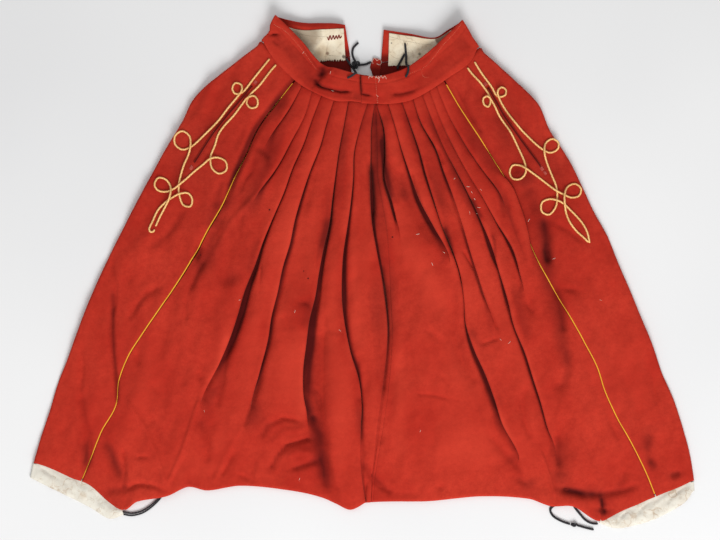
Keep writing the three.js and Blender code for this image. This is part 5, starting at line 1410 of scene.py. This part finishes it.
def linenMaterial(name, pale, dull, soiled, veins, spots):
    # spots: place on the plan, half width, how soft its edge is (0 to 1), strength, colour
    material, tree, shader = newMaterial(name, 0.9, 0.1, 0.5, (1, 0.97, 0.9, 1), 0.2)
    place, uv = coordinates(tree), coordinates(tree, "UV")
    blotch = noise(tree, place, 22.0, 4.0, 0.6)
    small = noise(tree, place, 85.0, 3.0, 0.65)
    colour = mixColour(tree, ramp(tree, blotch, 0.42, 0.66), pale, dull)
    colour = tint(tree, colour, small, 0.56, 0.72, 0.5, soiled)
    # thin brown lines left where it was creased and damp
    vein = nearLine(tree, noise(tree, place, 34.0, 2.0, 0.45), 0.022, 0.004)
    vein = times(tree, times(tree, vein, ramp(tree, blotch, 0.46, 0.56)), veins)
    colour = mixColour(tree, vein, colour, linenLook["vein"])
    fine = nearLine(tree, noise(tree, place, 75.0, 2.5, 0.5), 0.035, 0.005)
    fine = times(tree, times(tree, fine, ramp(tree, small, 0.44, 0.6)), linenLook["creaseShare"] * veins)
    colour = mixColour(tree, fine, colour, linenLook["crease"])
    flat, wobble = onPlan(tree, place), maths(tree, "SUBTRACT", blotch, 0.5)
    for at, size, softness, strength, spot in spots:
        size = size * mm
        ragged = times(tree, wobble, size * linenLook["ragged"])
        away = maths(tree, "ADD", distanceFrom(tree, flat, at), ragged)
        colour = tint(tree, colour, away, size, size * softness, strength, spot)
    threads = {"Vector": uv, "Scale": linenLook["weave"], "Distortion": 0.8, "Detail": 1.0}
    weave = times(tree, *[addNode(tree, "ShaderNodeTexWave", threads, bands_direction=way).outputs["Fac"]
                          for way in ("X", "Y")])
    setSurface(tree, shader, colour, [(weave, 0.4, linenLook["weaveHeight"]),
                                      (small, 0.5, linenLook["lumpHeight"])])
    return material


def threadMaterial(name, colour, dark):
    material, tree, shader = newMaterial(name, 0.9, 0.15, 0.5, colour, 0.15)
    place = coordinates(tree)
    shade = mixColour(tree, ramp(tree, noise(tree, place, 120.0, 2.0, 0.6), 0.35, 0.65), dark, colour)
    setSurface(tree, shader, shade, [(noise(tree, place, 1400.0, 3.0, 0.7), 0.4, 0.0002)])
    return material


redWool = woolMaterial("redWool", woolLook)
# the last number is the share of painted shade on the braid's sides
goldBraid = cordMaterial("goldBraid", (0.98, 0.60, 0.25, 1), (0.46, 0.19, 0.035, 1), 3, 0.0065, 0.0003, 0.9)
yellowPiping = cordMaterial("yellowPiping", (0.88, 0.43, 0.035, 1), (0.76, 0.32, 0.02, 1), 2, 0.0030, 0.0001)
blackLace = cordMaterial("blackLace", (0.034, 0.032, 0.036, 1), (0.010, 0.009, 0.011, 1), 4, 0.0045, 0.0004)
stain, inky, brown = (0.30, 0.22, 0.15, 1), (0.05, 0.04, 0.04, 1), (0.10, 0.08, 0.06, 1)
linens = {"facing": [(0.86, 0.76, 0.58, 1), (0.70, 0.56, 0.38, 1), (0.54, 0.41, 0.28, 1), 0.45],
          "cuff": [(0.75, 0.71, 0.62, 1), (0.64, 0.58, 0.49, 1), (0.54, 0.45, 0.35, 1), 0.6]}
facingLinen = linenMaterial("facingLinen", *linens["facing"], [
    ((-50, 390), 16, 0.2, 0.9, (0.90, 0.81, 0.63, 1)),
    ((-96, 400), 28, 0.6, 0.8, (0.34, 0.26, 0.18, 1)),
    ((-73, 372), 12, 0.3, 0.6, (0.35, 0.23, 0.13, 1)),
    ((72.8, 387.8), 2.4, 0.4, 0.9, inky),
    ((50.1, 389.1), 1.6, 0.4, 0.9, inky),
    ((-59, 372), 4.6, 0.5, 0.85, (0.22, 0.13, 0.08, 1)),
    ((-31, 366.5), 3.4, 0.4, 0.85, (0.10, 0.07, 0.05, 1)),
    # painted shade over the right end, where the band stands up out of the light
    ((138, 397), 14, 0.8, 0.92, (0.28, 0.17, 0.12, 1)),
    ((98, 371), 4, 0.3, 0.85, brown),
    ((70, 355), 15, 0.2, 0.4, (0.45, 0.34, 0.20, 1)),
])
cuffLinen = linenMaterial("cuffLinen", *linens["cuff"], [
    ((-474, -378), 8, 0.2, 0.3, (0.62, 0.47, 0.32, 1)),
    ((540, -382), 5, 0.3, 0.35, stain),
    ((432, -424), 7, 0.2, 0.3, stain),
])
paleThread = threadMaterial("paleThread", (0.78, 0.36, 0.22, 1), (0.60, 0.12, 0.06, 1))
lintThread = threadMaterial("lintThread", (0.88, 0.80, 0.68, 1), (0.80, 0.55, 0.42, 1))
darkThread = threadMaterial("darkThread", (0.11, 0.085, 0.06, 1), (0.22, 0.16, 0.10, 1))
pinkThread = threadMaterial("pinkThread", (0.58, 0.13, 0.10, 1), (0.40, 0.04, 0.03, 1))
redThread = threadMaterial("redThread", (0.24, 0.008, 0.008, 1), (0.15, 0.005, 0.006, 1))
print("wool, linen, braid and thread finishes made")

threadInputs = [("Spacing", "NodeSocketFloat"), ("Thread length", "NodeSocketFloat"),
                ("Thread width", "NodeSocketFloat"), ("Unevenness", "NodeSocketFloat"),
                ("Seed", "NodeSocketInt"), ("Finish", "NodeSocketMaterial")]
thread = {"smallest": 0.75, "largest": 1.2, "stray": (1, 1, 0.3), "segments": 8, "rings": 5}


def threadTree(name, alongLines):
    # one short thread at each step along the lines, or one on each point
    tree = bpy.data.node_groups.new(name, "GeometryNodeTree")
    tree.interface.new_socket("Geometry", in_out="INPUT", socket_type="NodeSocketGeometry")
    names = {title: tree.interface.new_socket(title, in_out="INPUT", socket_type=kind).identifier
             for title, kind in threadInputs}
    tree.interface.new_socket("Geometry", in_out="OUTPUT", socket_type="NodeSocketGeometry")
    given = addNode(tree, "NodeGroupInput").outputs
    bead = addNode(tree, "GeometryNodeMeshUVSphere",
                   {"Segments": thread["segments"], "Rings": thread["rings"], "Radius": 0.5})
    size = addNode(tree, "ShaderNodeCombineXYZ",
                   {0: given["Thread length"], 1: given["Thread width"], 2: given["Thread width"]})
    bead = addNode(tree, "GeometryNodeTransform",
                   {"Geometry": bead.outputs["Mesh"], "Scale": size.outputs[0]})
    bead = addNode(tree, "GeometryNodeSetShadeSmooth", {"Geometry": bead.outputs[0]})
    scale = addNode(tree, "FunctionNodeRandomValue",
                    {2: thread["smallest"], 3: thread["largest"], "Seed": given["Seed"]}, data_type="FLOAT")
    wander = addNode(tree, "FunctionNodeRandomValue",
                     {0: tuple(-part for part in thread["stray"]), 1: thread["stray"], "Seed": given["Seed"]},
                     data_type="FLOAT_VECTOR")
    stray = addNode(tree, "ShaderNodeVectorMath", {0: wander.outputs[0], "Scale": given["Unevenness"]},
                    operation="SCALE")
    heading = stray.outputs[0]
    if alongLines:
        line = addNode(tree, "GeometryNodeMeshToCurve", {"Mesh": given["Geometry"]})
        spots = addNode(tree, "GeometryNodeResampleCurve",
                        {"Curve": line.outputs[0], "Length": given["Spacing"]}, mode="LENGTH")
        tangent = addNode(tree, "GeometryNodeInputTangent").outputs[0]
        heading = addNode(tree, "ShaderNodeVectorMath", {0: tangent, 1: heading}, operation="ADD").outputs[0]
    else:
        spots = addNode(tree, "GeometryNodeMeshToPoints", {"Mesh": given["Geometry"]})
    turn = addNode(tree, "FunctionNodeAlignRotationToVector", {"Vector": heading}, axis="X")
    laid = addNode(tree, "GeometryNodeInstanceOnPoints",
                   {"Points": spots.outputs[0], "Instance": bead.outputs[0], "Rotation": turn.outputs[0],
                    "Scale": scale.outputs[1]})
    solid = addNode(tree, "GeometryNodeRealizeInstances", {"Geometry": laid.outputs[0]})
    painted = addNode(tree, "GeometryNodeSetMaterial",
                      {"Geometry": solid.outputs[0], "Material": given["Finish"]})
    addNode(tree, "NodeGroupOutput", {"Geometry": painted.outputs[0]})
    return tree, names


def growThreads(name, points, edges, kind, values):
    # values: spacing, length and width in metres, unevenness, seed, finish
    guide = bpy.data.meshes.new(name)
    guide.from_pydata([tuple(p) for p in np.asarray(points) * mm], edges, [])
    carrier = linkPiece(name, guide)
    maker = carrier.modifiers.new("threads", "NODES")
    maker.node_group = kind[0]
    for identifier, value in zip(kind[1].values(), values):
        maker[identifier] = value
    seen = bpy.context.evaluated_depsgraph_get()
    seen.update()
    mesh = bpy.data.meshes.new_from_object(carrier.evaluated_get(seen))
    carrier.modifiers.remove(maker)
    carrier.data = mesh
    return carrier


def circle(x, y, radius, count=14):
    return [[x + radius * math.cos(a), y + radius * math.sin(a)] for a in np.linspace(0, math.tau, count)]


def zigzag(start, end, width=6, turns=8):
    start, end = np.asarray(start, float), np.asarray(end, float)
    ahead = (end - start) / np.linalg.norm(end - start)
    aside = np.array([-ahead[1], ahead[0]]) * width / 2
    return [list(mix(start, end, i / turns) + aside * (1 if i % 2 else -1)) for i in range(turns + 1)]


clothParts = ("front_", "back_", "waistband_", "facing_", "pocket_")
clothMeshes = [(bodyMeshes | trimMeshes)[part + half] for part in clothParts for half, side in halves]
clothTree = heightTree(clothMeshes + [tabMesh])
stitch = {"step": 1.2, "sink": 0.45, "unevenness": 0.12, "seed": 3}
# finish, slot, spacing, length and width of each stitch, the cloth each run is on, its lines
stitchRuns = {
    "bandStitches_left": [paleThread, "linen", 3.1, 2.2, 0.5, "waistband_left", [
        [[-148.1, 417.7], [-129.9, 407.1], [-111.7, 387.8], [-98.6, 372.1], [-83.3, 351.2], [-77.9, 343.6]]]],
    "bandStitches_right": [paleThread, "linen", 3.1, 2.2, 0.5, "waistband_right", [
        [[167.1, 419.4], [157.2, 405.4], [137.5, 384.2], [110.7, 350.4], [102.3, 343.4], [100.8, 337.8],
         [103.7, 330.6], [112.2, 328.6]],
        [[98.1, 341.9], [78.2, 334.9]],
        [[22.6, 327.8], [24.5, 306.8], [26.2, 287.4]]]],
    "facingStitches_left": [darkThread, "lace", 1.9, 1.6, 0.45, "facing_left", [
        [[-109.1, 406], [-93.5, 402.1], [-67.5, 399.5], [-34.3, 398]],
        [[-63.6, 366.9], [-54.4, 368.4], [-40.8, 367.5], [-31.9, 367.7]]]],
    "facingStitches_right": [darkThread, "lace", 1.9, 1.6, 0.45, "facing_right", [
        [[47.3, 399.7], [86.7, 389.8], [118.1, 385.6]],
        [[48.8, 369.4], [54.4, 365.3], [61.4, 363.1]],
        circle(72.8, 387.8, 4.2)]],
}
extras = {}
stitchTree = threadTree("stitchesAlongLines", True)
lintTree = threadTree("threadsOnPoints", False)
for name, (colour, slot, spacing, length, width, host, routes) in stitchRuns.items():
    points, edges = [], []
    for route in routes:
        line = laidPath(route, clothTree, width, stitch["step"], stitch["sink"], 0.0, 1)
        edges += [(len(points) + i, len(points) + i + 1) for i in range(len(line) - 1)]
        points += list(line)
    values = [spacing * mm, length * mm, width * mm, stitch["unevenness"], stitch["seed"], colour]
    extras[name] = (growThreads(name, points, edges, stitchTree, values), slot, host)

tabMesh.materials.append(redWool)
extras["backScrap"] = (linkPiece("backScrap", tabMesh), "wool", "back_right")

# fluff and bits of thread lying on the cloth
lint = {"length": 6.2, "width": 0.55, "lift": 0.3, "unevenness": 1.0, "seed": 11}
lintPlaces = [
    [-113.2, -65.5], [-105.9, -349.3], [118.7, 14.4], [94.2, 64.8], [138.7, 33.8], [282.2, 88.4],
    [324.7, 23.6], [234.1, -113], [249, -118.1], [155.5, 158.1], [179.2, 144.7], [181.9, 101.1],
    [185.3, 135.2], [190.4, 123.2], [197.2, 109.6], [200.6, 140.2], [193.8, 99.5], [-98.6, 371.1],
    [-87.5, 375.4], [-53.2, 337.3], [-49.3, 306.3], [11.9, 332.7], [25.5, 298.3], [-207.4, -46.8],
    [-266.9, -233.8], [404.6, -46.8], [-37.4, -97.8], [98.6, -267.8]]
points = [[x, y, topAt(clothTree, x, y) + lint["lift"]] for x, y in lintPlaces]
values = [1 * mm, lint["length"] * mm, lint["width"] * mm, lint["unevenness"], lint["seed"], lintThread]
extras["lint"] = (growThreads("lint", points, [], lintTree, values), None, "front_left")

# tacks, frayed ends and loops of loose thread: finish, slot, radius, the cloth each is on, its routes
loose = {"step": 0.7, "sink": 0.3, "sides": 7}
looseThreads = {
    "barTack": [redThread, "wool", 0.85, "facing_left", [
        [[-58.3, 399.5], [-56.4, 394.2], [-54.1, 401.4], [-51.7, 394.9], [-48.6, 401.7], [-46.6, 395.6],
         [-43.5, 401.4], [-41.8, 396.3], [-38.8, 402.4], [-37.4, 397.3], [-34.3, 401]]]],
    "frayedBand": [lintThread, "linen", 0.36, "waistband_right", [
        [[11, 327], [13, 331], [17, 329], [20, 332.5], [23.5, 328.5], [26, 332.6], [29, 328], [32, 332.3],
         [35, 327.5], [38.1, 331.5], [41, 326.5]],
        [[24.5, 328.9], [28.9, 325.6], [27.9, 320.4]]]],
    "frayedTab": [lintThread, "linen", 0.36, "back_right", [
        [[18.4, 354.4], [18, 360.2], [21.4, 364], [25.5, 359.9], [29.6, 362.3], [33.1, 357.8], [30.6, 352.8],
         [24.8, 354.4]]]],
    "pocketTacks_left": [pinkThread, "wool", 0.5, "back_left", [
        zigzag([-178.5, 324], [-182, 319]), zigzag([-286.5, 179.5], [-290.5, 174.5])]],
    "pocketTacks_right": [pinkThread, "wool", 0.5, "back_right", [
        zigzag([206.5, 321.5], [210.5, 316.5]), zigzag([302, 178], [306, 173]),
        zigzag([307.5, 171], [311.5, 166], 5)]],
}
for name, (colour, slot, radius, host, routes) in looseThreads.items():
    paths = [laidPath(route, clothTree, 2 * radius, loose["step"], loose["sink"], 0.0, 1) for route in routes]
    mesh = joinMeshes(name, [tubeMesh(name + "Strand", path, radius, loose["sides"]) for path in paths])
    mesh.materials.append(colour)
    extras[name] = (linkPiece(name, mesh), slot, host)
print("stitches, tacks, loose threads and lint made")

studio = {"floor": (0.86, 0.86, 0.86, 1), "floorCool": (0.78, 0.78, 0.785, 1), "half": 15, "world": 0.47,
          "lights": [("keyLight", (0.78, -3.1, 2.5), 2.0, 146), ("fillLight", (-1.2, 1.3, 2.6), 2.2, 10)]}
floorMesh = bpy.data.meshes.new("paleFloor")
corners = [(-1, -1), (1, -1), (1, 1), (-1, 1)]
floorMesh.from_pydata([(x * studio["half"], y * studio["half"], 0) for x, y in corners], [], [(0, 1, 2, 3)])
paleFloor = linkPiece("paleFloor", floorMesh)
floorMaterial, floorTree, floorShader = newMaterial("palePaper", 0.9, specular=0.1)
floorCloud = ramp(floorTree, noise(floorTree, coordinates(floorTree), 1.2, 2.0), 0.3, 0.7)
floorTone = mixColour(floorTree, floorCloud, studio["floor"], studio["floorCool"])
floorTree.links.new(floorTone, floorShader.inputs["Base Color"])
floorMesh.materials.append(floorMaterial)

for name, place, size, power in studio["lights"]:
    light = bpy.data.lights.new(name, "AREA")
    light.size = size
    light.energy = power
    lamp = bpy.data.objects.new(name, light)
    lamp.location = place
    lamp.rotation_euler = (-Vector(place)).to_track_quat("-Z", "Y").to_euler()
    bpy.context.scene.collection.objects.link(lamp)
world = bpy.data.worlds.new("studioAir")
world.use_nodes = True
air = world.node_tree.nodes["Background"].inputs
air[0].default_value = (1, 1, 1, 1)
air[1].default_value = studio["world"]
bpy.context.scene.world = world

finishes = {part: (redWool, "wool") for part in ("front", "back", "waistband", "pocket")}
finishes |= {"facing": (facingLinen, "linen"), "cuff": (cuffLinen, "linen"),
             "piping": (yellowPiping, "piping"), "braid": (goldBraid, "braid"),
             "waist": (blackLace, "lace"), "leg": (blackLace, "lace")}
pieces = {}
for node, mesh in (bodyMeshes | trimMeshes).items():
    piece = linkPiece(mesh.name, mesh)
    material, slot = finishes[node.split("_")[0]]
    mesh.materials.append(material)
    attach(piece, "root")
    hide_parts(node)
    pieces[node] = piece

for name, (piece, slot, host) in extras.items():
    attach(piece, "root")

# flat size and cut area of each piece of cloth, in metres
cuts = {
    "back_left": [(0.62, 0.84), 0.44, ["floor"]],
    "back_right": [(0.62, 0.84), 0.44, ["floor"]],
    "front_left": [(0.60, 0.80), 0.40, ["back_left"]],
    "front_right": [(0.56, 0.80), 0.36, ["back_right"]],
    "waistband_left": [(0.065, 0.34), None, ["back_left", "front_left"]],
    "waistband_right": [(0.065, 0.34), None, ["back_right", "front_right"]],
    "facing_left": [(0.105, 0.06), 0.0055, ["waistband_left"]],
    "facing_right": [(0.09, 0.055), 0.0045, ["waistband_right"]],
    "cuff_left": [(0.34, 0.035), None, ["floor"]],
    "cuff_right": [(0.33, 0.033), None, ["floor"]],
}
for node, (flat, area, under) in cuts.items():
    half = node.split("_")[1]
    onIt = [other for name, other in pieces.items() if node.startswith("front") and half in name
            and name.startswith(("braid", "piping", "pocket"))]
    onIt += [piece for piece, slot, host in extras.values() if host == node]

# real length of each free cord in metres, where it ends, and the knot that goes with it
cords = {
    "waist_lace_left_upper": [0.038, "knot", []],
    "waist_lace_left_lower": [0.070, "object", []],
    "waist_lace_left_side": [0.036, "bare", ["waist_knot_left"]],
    "waist_lace_right_upper": [0.076, "bare", []],
    "waist_lace_right_lower": [0.031, "bare", []],
    "leg_tie_left": [0.077, "object", []],
    "leg_tie_right_loose": [0.066, "object", []],
    "leg_tie_right_end": [0.031, "bare", ["leg_tie_knot_right"]],
    "leg_tie_right_cuff": [0.065, "bare", []],
}
for node, (length, ending, knotted) in cords.items():
    path = lacePaths[node] * mm
